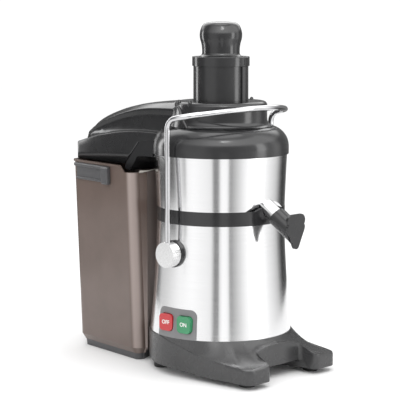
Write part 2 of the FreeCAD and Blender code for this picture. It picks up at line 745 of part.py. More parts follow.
def housing_radius(height):
    """Outer radius of the flared housing at a height, from its arc."""
    foot = Vector(DIMENSIONS["housing_foot_radius"], DIMENSIONS["deck_z"], 0)
    top = Vector(DIMENSIONS["housing_top_radius"], DIMENSIONS["housing_top_z"], 0)
    chord = top - foot
    flare = DIMENSIONS["housing_flare"]
    right = Vector(chord.y, -chord.x, 0) / chord.Length
    centre = (foot + top) * 0.5 + right * math.sqrt(flare ** 2 - chord.Length ** 2 / 4)
    return centre.x - math.sqrt(flare ** 2 - (height - centre.y) ** 2)


def panel_block(name, reach, across, high, corner=0):
    """A block square to the panel: reach from the spindle, across it, and high are (low, high)."""
    shape = Part.makeBox(reach[1] - reach[0], across[1] - across[0], high[1] - high[0],
                         Vector(reach[0], across[0], high[0]))
    if corner:
        edges = [edge for edge in shape.Edges
                 if abs(edge.tangentAt(edge.FirstParameter).x) > 0.99]
        shape = shape.makeFillet(corner, edges)
    shape.rotate(Vector(), Vector(0, 0, 1), 180 + DIMENSIONS["panel_turn"])
    return shaped(name, shape)


def button_block(name, side, reach, grow, corner):
    """The outline of one key, grown all round; side is 1 for the front key, -1 for the rear."""
    middle = side * DIMENSIONS["button_pitch"] / 2
    half = DIMENSIONS["button_wide"] / 2 + grow
    level, rise = DIMENSIONS["button_z"], DIMENSIONS["button_high"] / 2 + grow
    return panel_block(name, reach, (middle - half, middle + half),
                       (level - rise, level + rise), corner)


def window_block(name):
    """The opening in the housing behind the panel."""
    half = 90 * math.sin(math.radians(DIMENSIONS["panel_angle"]))
    foot = DIMENSIONS["deck_z"]
    return panel_block(name, (84, 115), (-half, half), (foot - 1, foot + 35))


def panel_shell():
    """The panel's plate: a band of the housing's flare with rounded upper corners."""
    foot, top = DIMENSIONS["deck_z"], DIMENSIONS["panel_top_z"]
    proud, half = DIMENSIONS["panel_proud"], DIMENSIONS["panel_angle"]
    middle = 180 + DIMENSIONS["panel_turn"]
    band = [(housing_radius(foot) - 3, foot), (housing_radius(foot) + proud, foot),
            (housing_radius(80) + proud, 80), (housing_radius(top) + proud, top),
            (housing_radius(top) - 3, top)]
    panel = sector("panel_sector", band, middle - half, middle + half)
    edges = []
    for edge in panel.Shape.Edges:
        ends = [vertex.Point for vertex in edge.Vertexes]
        level = all(abs(point.z - top) < 0.01 for point in ends)
        if level and len(ends) == 2 and abs(ends[0].distanceToPoint(ends[1]) - 3 - proud) < 0.6:
            edges.append(edge)
    panel.Shape = panel.Shape.makeFillet(DIMENSIONS["panel_corner"], edges)
    behind = [(60, 50), (housing_radius(foot), 50), (housing_radius(foot), foot),
              (housing_radius(80), 80), (housing_radius(top), top), (housing_radius(top), 110),
              (60, 110)]
    core = cut("panel_core", sector("panel_clear", behind, 150, 220), window_block("panel_plug"))
    return panel, core


def make_controls():
    panel, core = panel_shell()
    wells = [button_block(f"button_well_{index}", side, (60, 120), 0.6, 6.6)
             for index, side in enumerate((-1, 1))]
    subpart(cut("panel_cut", panel, core, *wells), "switch_panel")

    face = DIMENSIONS["button_face"]
    reach = (face - DIMENSIONS["button_deep"], face)
    for label, side in (("off_button", -1), ("on_button", 1)):
        subpart(button_block(f"{label}_key", side, reach, 0, DIMENSIONS["button_corner"]), label)

    subpart(block("switch_body", 24, 66, 34, -84, 0, 60), "switch_block", -33)
    subpart(block("contact_block", 40, 22, 16, -20, 0, dim("base_bottom_z") + 2.5),
            "terminal_block", -66)
    subpart(cylinder("run_capacitor_can", 16, 58, 0, 0, dim("base_bottom_z") + 2.5),
            "run_capacitor", 66)
    subpart(block("interlock_switch_body", 9, 20, 14, -83.4, 0, dim("pivot_z") - 31),
            "interlock_switch", -10)


# --- bowl and lid ---------------------------------------------------------------------

def make_bowl():
    foot, top = dim("ring_top_z"), dim("bowl_top_z")
    low_r, high_r, wall = dim("bowl_floor_radius"), dim("bowl_top_radius"), dim("sheet_wall")
    inner, lip = dim("chimney_radius"), dim("chimney_top_z")
    step_r, step, curve = low_r + dim("bowl_step_out"), dim("bowl_step"), dim("bowl_curve")
    outside = turned("bowl_outside", [
        at(0, foot), at(low_r, foot), at(step_r, foot + step), arc_to(high_r, top, curve, -1),
        at(0, top),
    ])
    inside = turned("bowl_inside", [
        at(0, foot + wall), at(low_r - wall, foot + wall), at(step_r - wall, foot + step),
        arc_to(high_r - wall, top + 1, curve, -1), at(0, top + 1),
    ])
    # The wall is pressed flat, square to the spout, where the tube leaves it.
    outside_flat = spout_half_space("facet_outside", dim("facet_reach"))
    inside_flat = spout_half_space("facet_inside", dim("facet_reach") - wall)
    shell = cut("bowl_hollow", cut("bowl_facet", outside, outside_flat),
                cut("bowl_room", inside, inside_flat))
    hub = cylinder("chimney_hole", inner + wall, 90, 0, 0, foot - 10)
    outlet = spout_rod("bowl_outlet", dim("spout_radius"), -DIMENSIONS["spout_length"] - 2, 30)
    subpart(cut("bowl_holes", shell, hub, outlet), "juice_bowl")
    subpart(turned("chimney", [
        at(inner, foot), at(inner + wall, foot), at(inner + wall, lip), at(inner, lip),
    ]), "bowl_chimney")

    # The seal follows the bowl's draft, just clear of its wall.
    seal_r, seal_foot = high_r - wall, top - dim("gasket_height")
    seal_in = seal_r - dim("gasket_width")
    subpart(turned("bowl_seal", [
        at(seal_in, seal_foot), at(seal_r - 0.36, seal_foot), at(seal_r - 0.06, top),
        at(seal_in, top),
    ]), "bowl_gasket")


# The feed tube's locating rib and the pusher's arrow stand at one angle about the spindle.
KEY_ANGLE = -84.0
KEY_WIDTH = 7.0


def turn_on_tube(item, reach, width):
    """Stand a block at KEY_ANGLE, its near face reach millimetres from the spindle."""
    angle = math.radians(KEY_ANGLE)
    item.Placement = Placement(Vector(), Rotation(Vector(0, 0, 1), KEY_ANGLE))
    bind(item, {"Placement.Base.x": reach * math.cos(angle) + width / 2 * math.sin(angle),
                "Placement.Base.y": reach * math.sin(angle) - width / 2 * math.cos(angle)})


def make_lid():
    radius, wall = dim("lid_radius"), dim("lid_wall")
    foot, shoulder, bend = dim("bowl_top_z"), dim("lid_shoulder_z"), dim("lid_shoulder_radius")
    drum, top, edge = dim("drum_radius"), dim("drum_top_z"), dim("drum_edge")
    tube, bore = dim("tube_radius"), dim("tube_bore")
    mouth, tail = dim("tube_top_z"), dim("tube_foot_z")
    crown = shoulder + bend
    dome = turned("lid_dome", [
        at(radius - wall, foot), at(radius, foot), at(radius, shoulder),
        arc_to(radius - bend, crown, bend, 1), at(drum, crown), at(drum, crown - wall),
        at(radius - bend, crown - wall), arc_to(radius - wall, shoulder, bend - wall, -1),
    ])
    barrel = turned("lid_barrel", [
        at(drum - wall, crown - wall), at(drum, crown - wall), at(drum, top - edge),
        arc_to(drum - edge, top, edge, 1), at(tube, top), at(tube, top - wall),
        at(drum - edge, top - wall), at(drum - wall, top - edge),
    ])
    for label, shell in (("lid_cover", dome), ("lid_drum", barrel)):
        port = block(f"{label}_pulp_port", 104, 70, 32, -52, 50, 320)
        subpart(cut(f"{label}_port_cut", shell, port), label)
    pipe = turned("feed_pipe", [
        at(bore, tail), at(tube, tail), at(tube, mouth), at(bore, mouth),
    ])
    rib = block("tube_rib", 3.2, KEY_WIDTH, mouth - top, 0, 0, top)
    turn_on_tube(rib, 39.0, KEY_WIDTH)
    subpart(fuse("feed_tube_whole", pipe, rib), "feed_tube")
    subpart(turned("lid_seal", [
        at(93.0, foot + 1), at(radius - wall, foot + 1),
        at(radius - wall, foot + 5), at(93.0, foot + 5),
    ]), "lid_gasket")


# --- pulp hood --------------------------------------------------------------------------

# Stations of the hood from front to rear: y, half width of the skirt, ledge height,
# half width of the crown, height of the crown's edge, height of its middle.
HOOD_STATIONS = (
    (-12.0, 70.0, 344.0, 58.0, 381.0, 391.0),
    (50.0, 70.5, 344.5, 58.0, 380.8, 391.0),
    (100.0, 70.5, 344.8, 58.0, 378.5, 387.5),
    (140.0, 70.0, 342.2, 57.8, 371.5, 382.5),
    (180.0, 69.0, 337.2, 57.0, 359.5, 373.0),
    (215.0, 67.5, 329.0, 55.0, 347.0, 358.0),
    (236.0, 65.5, 323.0, 50.0, 333.0, 340.0),
    (243.0, 63.0, 320.0, 46.0, 324.0, 327.0),
)


def hood_section(station, inset, foot):
    """One closed cross-section of the hood, drawn inset by a wall thickness."""
    y, skirt, ledge, crown, edge, middle = station
    skirt, crown = skirt - inset, crown - inset
    ledge, edge, middle = ledge - inset, edge - inset, middle - inset
    step = 2.0
    left = [Vector(-skirt, y, foot), Vector(-skirt, y, ledge),
            Vector(-crown, y, ledge + step), Vector(-crown, y, edge - 4),
            Vector(-crown + 6, y, edge)]
    right = [Vector(-point.x, point.y, point.z) for point in reversed(left)]
    edges = [Part.LineSegment(a, b).toShape() for a, b in zip(left, left[1:])]
    edges.append(Part.Arc(left[-1], Vector(0, y, middle), right[0]).toShape())
    edges += [Part.LineSegment(a, b).toShape() for a, b in zip(right, right[1:])]
    edges.append(Part.LineSegment(right[-1], left[0]).toShape())
    return Part.Wire(edges)


def hood_loft(inset, foot, stations):
    return Part.makeLoft([hood_section(item, inset, foot) for item in stations], True, False)


def side_prism(name, points, half_width):
    """A prism across the machine from a (y, z) outline."""
    corners = [Vector(-half_width, y, z) for y, z in points]
    face = Part.Face(Part.makePolygon(corners + corners[:1]))
    return shaped(name, face.extrude(Vector(2 * half_width, 0, 0)))


def lid_room(name):
    """The room that the lid's dome and drum fill."""
    radius, bend, drum = dim("lid_radius"), dim("lid_shoulder_radius"), dim("drum_radius")
    shoulder = dim("lid_shoulder_z")
    below, above = 250, 400
    return turned(name, [
        at(0, below), at(radius, below), at(radius, shoulder),
        arc_to(radius - bend, shoulder + bend, bend, 1), at(drum, shoulder + bend),
        at(drum, above), at(0, above),
    ])


def make_hood():
    foot, wall = DIMENSIONS["hood_foot_z"], DIMENSIONS["hood_wall"]
    outer = shaped("hood_outer", hood_loft(0, foot, HOOD_STATIONS))
    inner_stations = [list(item) for item in HOOD_STATIONS]
    inner_stations[-1][0] -= wall
    inner_stations[-2][0] -= wall * 0.6
    inner = shaped("hood_inner", hood_loft(wall, foot - 10, inner_stations[1:]))
    dome = lid_room("dome_clear")
    # The skirt stops at a slanting seam above the chute.
    seam = side_prism("hood_seam", [
        (-30, 280), (132, 280), (132, 294), (104, 327), (96, 334), (84, 337.2), (-30, 337.5),
    ], 90)
    # The hood's cheeks run out forward along the drum in two slanting wings.
    wings = side_prism("hood_wings", [(-40, 340), (-9, 340), (-9, 352), (22, 386), (22, 400),
                                      (-40, 400)], 90)
    subpart(cut("hood_cut", outer, inner, dome, seam, wings), "pulp_hood")


def make_chute():
    """Duct under the hood that drops the pulp from the lid into the bin."""
    outer = side_prism("chute_outer", [
        (58, 309), (103, 309), (121, 285.4), (131.2, 288.5), (131.2, 293.4), (103.4, 326.4),
        (95.5, 333.3), (83.7, 336.5), (58, 336.8),
    ], 69.6)
    inner = side_prism("chute_inner", [
        (40, 312), (104.5, 312), (123, 288.4), (140, 288.4), (140, 340), (40, 340),
    ], 66.6)
    dome = lid_room("chute_dome_clear")
    subpart(cut("chute_cut", outer, inner, dome), "pulp_chute")


# --- pusher -----------------------------------------------------------------------------

def make_pusher():
    """Hollow plunger: open below, with a collar and a knob to press on."""
    radius, wall, room = dim("pusher_radius"), dim("pusher_wall"), dim("knob_room")
    mouth, collar, collar_z = dim("tube_top_z"), dim("collar_radius"), dim("collar_top_z")
    tail, top = dim("tube_foot_z"), dim("total_z")
    dome_r, rise = dim("dome_radius"), dim("dome_rise")
    dome_curve = (dome_r * dome_r + rise * rise) / (rise * 2)
    plunger = turned("pusher_shell", [
        at(radius - wall, tail), at(radius, tail), at(radius, mouth + 0.4),
        at(collar, mouth + 0.4), at(collar, collar_z - 1.0), arc_to(collar - 1, collar_z, 1, 1),
        at(room, collar_z), at(room, collar_z - wall), at(radius - wall, collar_z - 6),
    ])
    neck = dim("knob_neck")
    grip = turned("pusher_grip", [
        at(dim("knob_foot"), collar_z), at(dim("knob_foot"), collar_z + 0.5),
        arc_to(neck, collar_z + 5, 5, -1), at(neck, collar_z + 9),
        arc_to(dim("knob_swell"), dim("knob_swell_z"), 50, -1),
        arc_to(dim("knob_brow"), dim("knob_brow_z"), 26, 1),
        arc_to(dome_r, top - rise, 10, 1), arc_to(0, top, dome_curve, 1),
        at(0, top - wall), at(room - 5, top - wall - 2), at(room, dim("knob_brow_z") - 1),
        at(room, collar_z),
    ])
    subpart(grip, "pusher_knob")
    arrow = block("pusher_arrow", 4, 5, 9, 0, 0, mouth + 2.4)
    turn_on_tube(arrow, 41.2, 5)
    subpart(cut("pusher_cut", plunger, arrow), "pusher")


# --- bail ---------------------------------------------------------------------------------

def bail_wire():
    """Centre line of the bail: up one arm, over the lid in a flat loop, down the other."""
    arm, bend, start_z = (DIMENSIONS["arm_x"], DIMENSIONS["bend_radius"],
                          DIMENSIONS["rod_end_z"])
    bend_z, side_r, reach = (DIMENSIONS["bend_z"], DIMENSIONS["loop_side_radius"],
                             DIMENSIONS["loop_reach"])
    tilt = math.radians(DIMENSIONS["loop_tilt"])
    forward = Vector(0, -math.cos(tilt), math.sin(tilt))
    centre = Vector(arm, -bend, bend_z)

    def on_bend(angle):
        return centre + Vector(0, bend * math.cos(angle), bend * math.sin(angle))

    quarter = math.pi / 2 - tilt
    bend_end = on_bend(quarter)
    begin = bend_end.y / forward.y
    origin = bend_end - forward * begin
    origin.x = 0

    def in_plane(across, ahead):
        return origin + Vector(across, 0, 0) + forward * ahead

    # The front arc is tangent to both side arcs.
    offset = arm - side_r
    gap = begin - reach
    front_r = (offset ** 2 + gap ** 2 - side_r ** 2) / (-2 * gap - 2 * side_r)
    front_centre = reach - front_r
    lean = math.atan2(begin - front_centre, offset)
    half_lean = lean / 2
    side_mid = (offset + side_r * math.cos(half_lean), begin + side_r * math.sin(half_lean))
    side_end = (offset + side_r * math.cos(lean), begin + side_r * math.sin(lean))

    right = [
        Part.LineSegment(Vector(arm, 0, start_z), on_bend(0)).toShape(),
        Part.Arc(on_bend(0), on_bend(quarter / 2), bend_end).toShape(),
        Part.Arc(bend_end, in_plane(*side_mid), in_plane(*side_end)).toShape(),
    ]
    front = Part.Arc(in_plane(*side_end), in_plane(0, reach),
                     in_plane(-side_end[0], side_end[1])).toShape()
    left = [edge.mirror(Vector(), Vector(1, 0, 0)) for edge in reversed(right)]
    return Part.Wire(right + [front] + left)


def make_bail():
    wire = bail_wire()
    start = Vector(DIMENSIONS["arm_x"], 0, DIMENSIONS["rod_end_z"])
    circle = Part.Wire(Part.Circle(start, Vector(0, 0, 1), DIMENSIONS["rod_radius"]).toShape())
    rod = wire.makePipeShell([circle], True, False)
    subpart(shaped("bail_rod", rod), "bail_arm")


def make_pivots():
    """On each side a clamp knob on the rod, a bush in the housing and a pin through both."""
    pivot, rod_r = dim("pivot_z"), dim("rod_radius")
    face, width = dim("knob_face_x"), dim("knob_width")
    inner, bush_r = dim("bush_inner_x"), dim("bush_radius")
    for name, side in (("left", -1), ("right", 1)):
        knob_x = (face - width) if side > 0 else -face
        disc = cylinder(f"knob_disc_{name}", dim("knob_radius"), width, knob_x, 0, pivot, (1, 0, 0))
        socket = cylinder(f"knob_socket_{name}", rod_r, 60, dim("arm_x") * side, 0,
                          dim("rod_end_z"))
        subpart(cut(f"knob_cut_{name}", disc, socket), f"pivot_knob_{name}")

        bush_x = inner if side > 0 else -dim("bush_face_x")
        bush = cylinder(f"bush_body_{name}", bush_r, dim("bush_face_x") - inner, bush_x, 0,
                        pivot, (1, 0, 0))
        bore = cylinder(f"bush_bore_{name}", dim("pin_radius") + 0.06, 60, 60 if side > 0 else -120,
                        0, pivot, (1, 0, 0))
        subpart(cut(f"bush_cut_{name}", bush, bore), f"pivot_bush_{name}")

        pin_in = dim("pin_end_x")
        pin_x = pin_in if side > 0 else width - face
        subpart(cylinder(f"pin_{name}_rod", dim("pin_radius"), face - width - pin_in, pin_x, 0,
                         pivot, (1, 0, 0)), f"pivot_pin_{name}")

    cam_x, thick = dim("cam_x"), dim("cam_thick")
    cam = cylinder("cam_disc", dim("cam_radius"), thick, cam_x, 0, pivot, (1, 0, 0))
    flat = block("cam_flat", 10, 40, 10, cam_x - 3, -20, pivot + dim("cam_flat"))
    cam_bore = cylinder("cam_bore", dim("pin_radius"), 20, cam_x - 8, 0, pivot, (1, 0, 0))
    subpart(cut("cam_cut", cam, flat, cam_bore), "interlock_cam")


# --- pulp bin -------------------------------------------------------------------------------

def bin_section(height, inset):
    """Plan of the bin at a height: tapered rearwards, hollowed in front round the housing."""
    rim, floor = DIMENSIONS["bin_rim_z"], DIMENSIONS["bin_floor_z"]
    draft = DIMENSIONS["bin_draft"] * (rim - height) / (rim - floor)
    front_x = DIMENSIONS["bin_front_x"] - draft - inset
    rear_x = DIMENSIONS["bin_rear_x"] - draft - inset
    front_y, rear_y = DIMENSIONS["bin_front_y"] + inset, DIMENSIONS["bin_rear_y"] - inset
    nest, nest_x = DIMENSIONS["bin_nest_radius"] + inset, DIMENSIONS["bin_nest_x"]
    front_c = max(DIMENSIONS["bin_front_corner"] - inset, 4.0)
    rear_c = max(DIMENSIONS["bin_rear_corner"] - inset, 4.0)
    nest_y = math.sqrt(nest ** 2 - nest_x ** 2)

    def arc(start, corner, end, radius):
        # A round corner between two runs that meet near a right angle.
        inward = Vector(start.x + end.x - 2 * corner.x, start.y + end.y - 2 * corner.y, 0)
        inward.normalize()
        middle = corner + inward * (radius * (math.sqrt(2) - 1))
        middle.z = height
        return Part.Arc(start, middle, end).toShape()

    def point(x, y):
        return Vector(x, y, height)

    edges = []
    nest_a, nest_b = point(-nest_x, nest_y), point(nest_x, nest_y)
    edges.append(Part.Arc(nest_a, point(0, nest), nest_b).toShape())
    fa, fc, fb = (point(front_x - front_c, front_y), point(front_x, front_y),
                  point(front_x - DIMENSIONS["front_taper"], front_y + front_c))
    ra, rc, rb = (point(rear_x + DIMENSIONS["rear_taper"], rear_y - rear_c),
                  point(rear_x, rear_y),
                  point(rear_x - rear_c, rear_y))

    def flip(item):
        return Vector(-item.x, item.y, item.z)

    edges.append(Part.LineSegment(nest_b, fa).toShape())
    edges.append(arc(fa, fc, fb, front_c))
    edges.append(Part.LineSegment(fb, ra).toShape())
    edges.append(arc(ra, rc, rb, rear_c))
    edges.append(Part.LineSegment(rb, flip(rb)).toShape())
    edges.append(arc(flip(rb), flip(rc), flip(ra), rear_c))
    edges.append(Part.LineSegment(flip(ra), flip(fb)).toShape())
    edges.append(arc(flip(fb), flip(fc), flip(fa), front_c))
    edges.append(Part.LineSegment(flip(fa), nest_a).toShape())
    return Part.Wire(edges)


def bin_loft(low, high, inset_low, inset_high):
    wires = [bin_section(low, inset_low), bin_section(high, inset_high)]
    return Part.makeLoft(wires, True, True)


def make_bin():
    rim, floor, wall = (DIMENSIONS["bin_rim_z"], DIMENSIONS["bin_floor_z"],
                        DIMENSIONS["bin_wall"])
    bend_z, inset = floor + DIMENSIONS["bin_chamfer"], DIMENSIONS["bin_chamfer_inset"]
    out, band = DIMENSIONS["bin_lip_out"], DIMENSIONS["bin_lip"]
    tub = bin_loft(bend_z, rim, 0, 0)
    tub = tub.fuse(bin_loft(floor, bend_z, inset, 0))
    hollow = bin_loft(bend_z, rim + 2, wall, wall)
    hollow = hollow.fuse(bin_loft(floor + wall, bend_z, inset + wall, wall))
    tub = tub.cut(hollow)
    lip = bin_loft(rim - band, rim, -out, -out)
    lip = lip.cut(bin_loft(rim - band - 1, rim + 1, wall, wall))
    tub = tub.fuse(lip).removeSplitter()
    hook = Part.makeBox(60, 6, 4, Vector(-30, DIMENSIONS["bin_rear_y"] + 0.5, rim - 3))
    tub = tub.fuse(hook).removeSplitter()
    # The rim dips in front, so that the bin passes under the lip of the chute.
    dip = side_prism("bin_dip", [(60, DIMENSIONS["dip_z"]), (116, DIMENSIONS["dip_z"]),
                                 (126, rim), (126, rim + 20), (60, rim + 20)], 120)
    subpart(cut("bin_cut", shaped("bin_tub", tub), dip), "pulp_bin")

    foot = bin_loft(0, floor, 7.0, 6.0)
    subpart(shaped("bin_foot_frame", foot), "bin_foot")

    for name, side in (("left", -1), ("right", 1)):
        subpart(shaped(f"grip_{name}_shape", grip_shape(side)), f"bin_grip_{name}")


def side_wall_x(y, height):
    """Outer face of the bin's side wall at a place."""
    rim, floor = DIMENSIONS["bin_rim_z"], DIMENSIONS["bin_floor_z"]
    draft = DIMENSIONS["bin_draft"] * (rim - height) / (rim - floor)
    front, rear = DIMENSIONS["bin_front_y"], DIMENSIONS["bin_rear_y"]
    start, stop = front + DIMENSIONS["bin_front_corner"], rear - DIMENSIONS["bin_rear_corner"]
    front_x = DIMENSIONS["bin_front_x"] - DIMENSIONS["front_taper"]
    rear_x = DIMENSIONS["bin_rear_x"] + DIMENSIONS["rear_taper"]
    share = (y - start) / (stop - start)
    return front_x + (rear_x - front_x) * share - draft


def grip_shape(side):
    """Finger grip on a side wall: a thick front end and a long shallow scoop behind it."""
    low, high = 266.0, 288.0
    front, nose, rear = 150.0, 166.0, 232.0

    def outline(height):
        face = [(front, 0), (front + 2, 7), (nose - 2, 8.5), (nose, 7), (nose + 2, 2.2),
                (rear, 2.2), (rear, 0)]
        return [Vector(side * (side_wall_x(y, height) + out), y, height) for y, out in face]

    wires = [Part.makePolygon(outline(z) + outline(z)[:1]) for z in (low, high)]
    shape = Part.makeLoft(wires, True, True)
    tub = bin_loft(DIMENSIONS["bin_floor_z"] + DIMENSIONS["bin_chamfer"],
                   DIMENSIONS["bin_rim_z"], 0, 0)
    return shape.cut(tub)


make_base()
make_underside()
make_housing()
make_spout()
make_spout_cap()
make_motor()
make_motor_mounting()
make_rotor()
make_controls()
make_bowl()
make_lid()
make_hood()
make_chute()
make_pusher()
make_bail()
make_pivots()
make_bin()
doc.recompute()

# --- check and write --------------------------------------------------------------------------

faults = []
for item in doc.Objects:
    if "Invalid" in item.State or "Error" in item.State:
        faults.append(f"{item.Name}: {item.State}")
labels = [item.Label for item in subparts]
if len(set(labels)) != len(labels):
    faults.append("two sub-parts share a label")
for item in subparts:
    if item.Shape.isNull() or not item.Shape.isValid():
        faults.append(f"{item.Label}: shape is null or not valid")
if faults:
    raise RuntimeError("; ".join(faults))

os.makedirs("parts", exist_ok=True)
whole = FreeCAD.BoundBox()
for item in subparts:
    whole.add(item.Shape.optimalBoundingBox())
    item.Shape.exportStep(f"parts/{item.Label}.step")
print(f"{len(subparts)} sub-parts, box {whole}")
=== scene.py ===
import json
import math

import bmesh
import bpy
from mathutils import Matrix, Vector


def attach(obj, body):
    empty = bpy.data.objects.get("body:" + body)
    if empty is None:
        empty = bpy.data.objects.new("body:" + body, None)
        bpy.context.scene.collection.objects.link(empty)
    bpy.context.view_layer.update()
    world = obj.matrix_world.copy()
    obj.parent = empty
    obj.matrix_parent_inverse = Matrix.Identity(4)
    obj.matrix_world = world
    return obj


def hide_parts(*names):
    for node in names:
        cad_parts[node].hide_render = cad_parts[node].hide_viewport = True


# A centrifugal juicer.  Lengths below are in millimetres and angles in degrees;
# MM turns them into the metres of the frame.  Places called local are counted
# from the motor spindle, which stands at SPINDLE_Y in the frame.
MM = 0.001
SPINDLE_Y = -55.25

# The camera, counted from the spindle: turn and pitch in degrees, the rest in millimetres.
CAMERA = {
    "turn": 45.26,
    "pitch": 7.39,
    "distance": 2244.8,
    "side_step": -30.3,
    "height": 537.0,
    "lens": 138.9,
}

SIDES = (("left", -1), ("right", 1))

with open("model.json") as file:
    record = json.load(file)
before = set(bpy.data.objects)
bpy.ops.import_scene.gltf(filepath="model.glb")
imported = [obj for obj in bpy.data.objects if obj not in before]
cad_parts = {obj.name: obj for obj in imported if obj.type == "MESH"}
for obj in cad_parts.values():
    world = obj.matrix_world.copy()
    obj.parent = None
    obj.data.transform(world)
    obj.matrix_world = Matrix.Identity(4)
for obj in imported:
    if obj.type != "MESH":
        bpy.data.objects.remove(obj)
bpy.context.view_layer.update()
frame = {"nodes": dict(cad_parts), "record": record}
nodes = frame["nodes"]


# --- small helpers ----------------------------------------------------------

def local(x, y, z):
    """A point counted from the spindle, in frame metres."""
    return Vector((x * MM, (y + SPINDLE_Y) * MM, z * MM))


def blend(low, high, share):
    """The number that lies share of the way from low to high."""
    return low + (high - low) * share


def along(stations, place):
    """Smooth value at place from (place, value) stations."""
    if place <= stations[0][0]:
        return stations[0][1]
    for (a, low), (b, high) in zip(stations, stations[1:]):
        if place <= b:
            share = (place - a) / (b - a)
            return blend(low, high, share * share * (3 - 2 * share))
    return stations[-1][1]


def curve_through(stations, place):
    """Catmull-Rom value at place through (place, value) stations."""
    last = len(stations) - 1
    index = 0
    while index < last - 1 and place > stations[index + 1][0]:
        index += 1
    (a, low), (b, high) = stations[index], stations[index + 1]
    before = stations[max(index - 1, 0)]
    after = stations[min(index + 2, last)]
    share = min(max((place - a) / (b - a), 0.0), 1.0)
    start = (high - before[1]) / max(b - before[0], 1e-6) * (b - a)
    stop = (after[1] - low) / max(after[0] - a, 1e-6) * (b - a)
    s2, s3 = share ** 2, share ** 3
    return ((2 * s3 - 3 * s2 + 1) * low + (s3 - 2 * s2 + share) * start
            + (3 * s2 - 2 * s3) * high + (s3 - s2) * stop)


def circle_row(radius, height, count=96, centre=(0.0, 0.0)):
    """A level ring of local points about centre."""
    row = []
    for step in range(count):
        angle = 2 * math.pi * step / count
        row.append((centre[0] + radius * math.cos(angle),
                    centre[1] + radius * math.sin(angle), height))
    return row


def new_mesh(name, points, faces, sharp=40.0):
    """A smooth mesh from frame points and faces; edges steeper than sharp stay crisp."""
    mesh = bpy.data.meshes.new(name)
    mesh.from_pydata([tuple(point) for point in points], [], faces)
    shape = bmesh.new()
    shape.from_mesh(mesh)
    bmesh.ops.remove_doubles(shape, verts=shape.verts, dist=1e-6)
    bmesh.ops.recalc_face_normals(shape, faces=shape.faces)
    shape.to_mesh(mesh)
    shape.free()
    mesh.polygons.foreach_set("use_smooth", [True] * len(mesh.polygons))
    mesh.set_sharp_from_angle(angle=math.radians(sharp))
    return mesh


def add_piece(name, mesh, body, slot, replaces=()):
    """Put a mesh in the scene as a piece that rides on a CAD body."""
    piece = bpy.data.objects.new(name, mesh)
    bpy.context.scene.collection.objects.link(piece)
    if not mesh.materials:
        mesh.materials.append(materials[slot])
    if replaces:
        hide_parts(*replaces)
    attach(piece, body)
    return piece


def sheet_faces(rows, columns, closed=False):
    """Quads of a grid of points; closed joins the last column to the first."""
    faces = []
    for row in range(rows - 1):
        for column in range(columns if closed else columns - 1):
            after = (column + 1) % columns
            faces.append((row * columns + column, row * columns + after,
                          (row + 1) * columns + after, (row + 1) * columns + column))
    return faces


def loft(name, rows, closed=True, caps=True):
    """A mesh through rows of local points."""
    columns = len(rows[0])
    points = [local(*point) for row in rows for point in row]
    faces = sheet_faces(len(rows), columns, closed)
    if caps:
        faces.append(tuple(range(columns)))
        faces.append(tuple(range((len(rows) - 1) * columns, len(rows) * columns)))
    return new_mesh(name, points, faces)


def soften(piece, width, segments=3, angle=35.0):
    """Round a piece's edges off with a bevel."""
    bevel = piece.modifiers.new("soft_edges", "BEVEL")
    bevel.width = width * MM
    bevel.segments = segments
    bevel.limit_method = "ANGLE"
    bevel.angle_limit = math.radians(angle)
    bevel.harden_normals = True


# --- materials --------------------------------------------------------------

class Nodes:
    """A short hand for building one material's node tree."""

    def __init__(self, name):
        self.material = bpy.data.materials.new(name)
        self.material.use_nodes = True
        self.tree = self.material.node_tree
        self.shader = self.tree.nodes["Principled BSDF"]

    def add(self, kind, **settings):
        """Add one node with its settings."""
        node = self.tree.nodes.new(kind)
        for key, value in settings.items():
            setattr(node, key, value)
        return node

    def link(self, source, target):
        """Join an output to an input."""
        self.tree.links.new(source, target)

    def fix(self, name, value):
        """Set one constant on the shader's own socket."""
        self.shader.inputs[name].default_value = value

    def place(self, stretch=(1, 1, 1)):
        """Object coordinates, stretched."""
        source = self.add("ShaderNodeTexCoord")
        mapping = self.add("ShaderNodeMapping")
        mapping.inputs["Scale"].default_value = stretch
        self.link(source.outputs["Object"], mapping.inputs["Vector"])
        return mapping.outputs["Vector"]

    def noise(self, scale, detail=3.0, stretch=(1, 1, 1)):
        """A noise in object space."""
        node = self.add("ShaderNodeTexNoise")
        node.inputs["Scale"].default_value = scale
        node.inputs["Detail"].default_value = detail
        self.link(self.place(stretch), node.inputs["Vector"])
        return node.outputs["Fac"]

    def spread(self, source, low, high):
        """Turn a noise into a number that runs from low to high."""
        node = self.add("ShaderNodeMapRange")
        node.inputs["From Min"].default_value = 0.3
        node.inputs["From Max"].default_value = 0.7
        node.inputs["To Min"].default_value = low
        node.inputs["To Max"].default_value = high
        self.link(source, node.inputs["Value"])
        return node.outputs["Result"]

    def tint(self, source, dark, light):
        """Turn a noise into a colour between dark and light."""
        node = self.add("ShaderNodeMix", data_type="RGBA")
        node.inputs["A"].default_value = (*dark, 1)
        node.inputs["B"].default_value = (*light, 1)
        self.link(self.spread(source, 0.0, 1.0), node.inputs["Factor"])
        return node.outputs["Result"]

    def mottle_gloss(self, rough):
        """Faint patches in the gloss."""
        patches = self.noise(60.0, 5.0)
        self.link(self.spread(patches, rough - 0.03, rough + 0.05),
                  self.shader.inputs["Roughness"])

    def bump(self, source, depth, strength):
        """Fine relief; depth is in millimetres."""
        node = self.add("ShaderNodeBump")
        node.inputs["Strength"].default_value = strength
        node.inputs["Distance"].default_value = depth * MM
        self.link(source, node.inputs["Height"])
        self.link(node.outputs["Normal"], self.shader.inputs["Normal"])


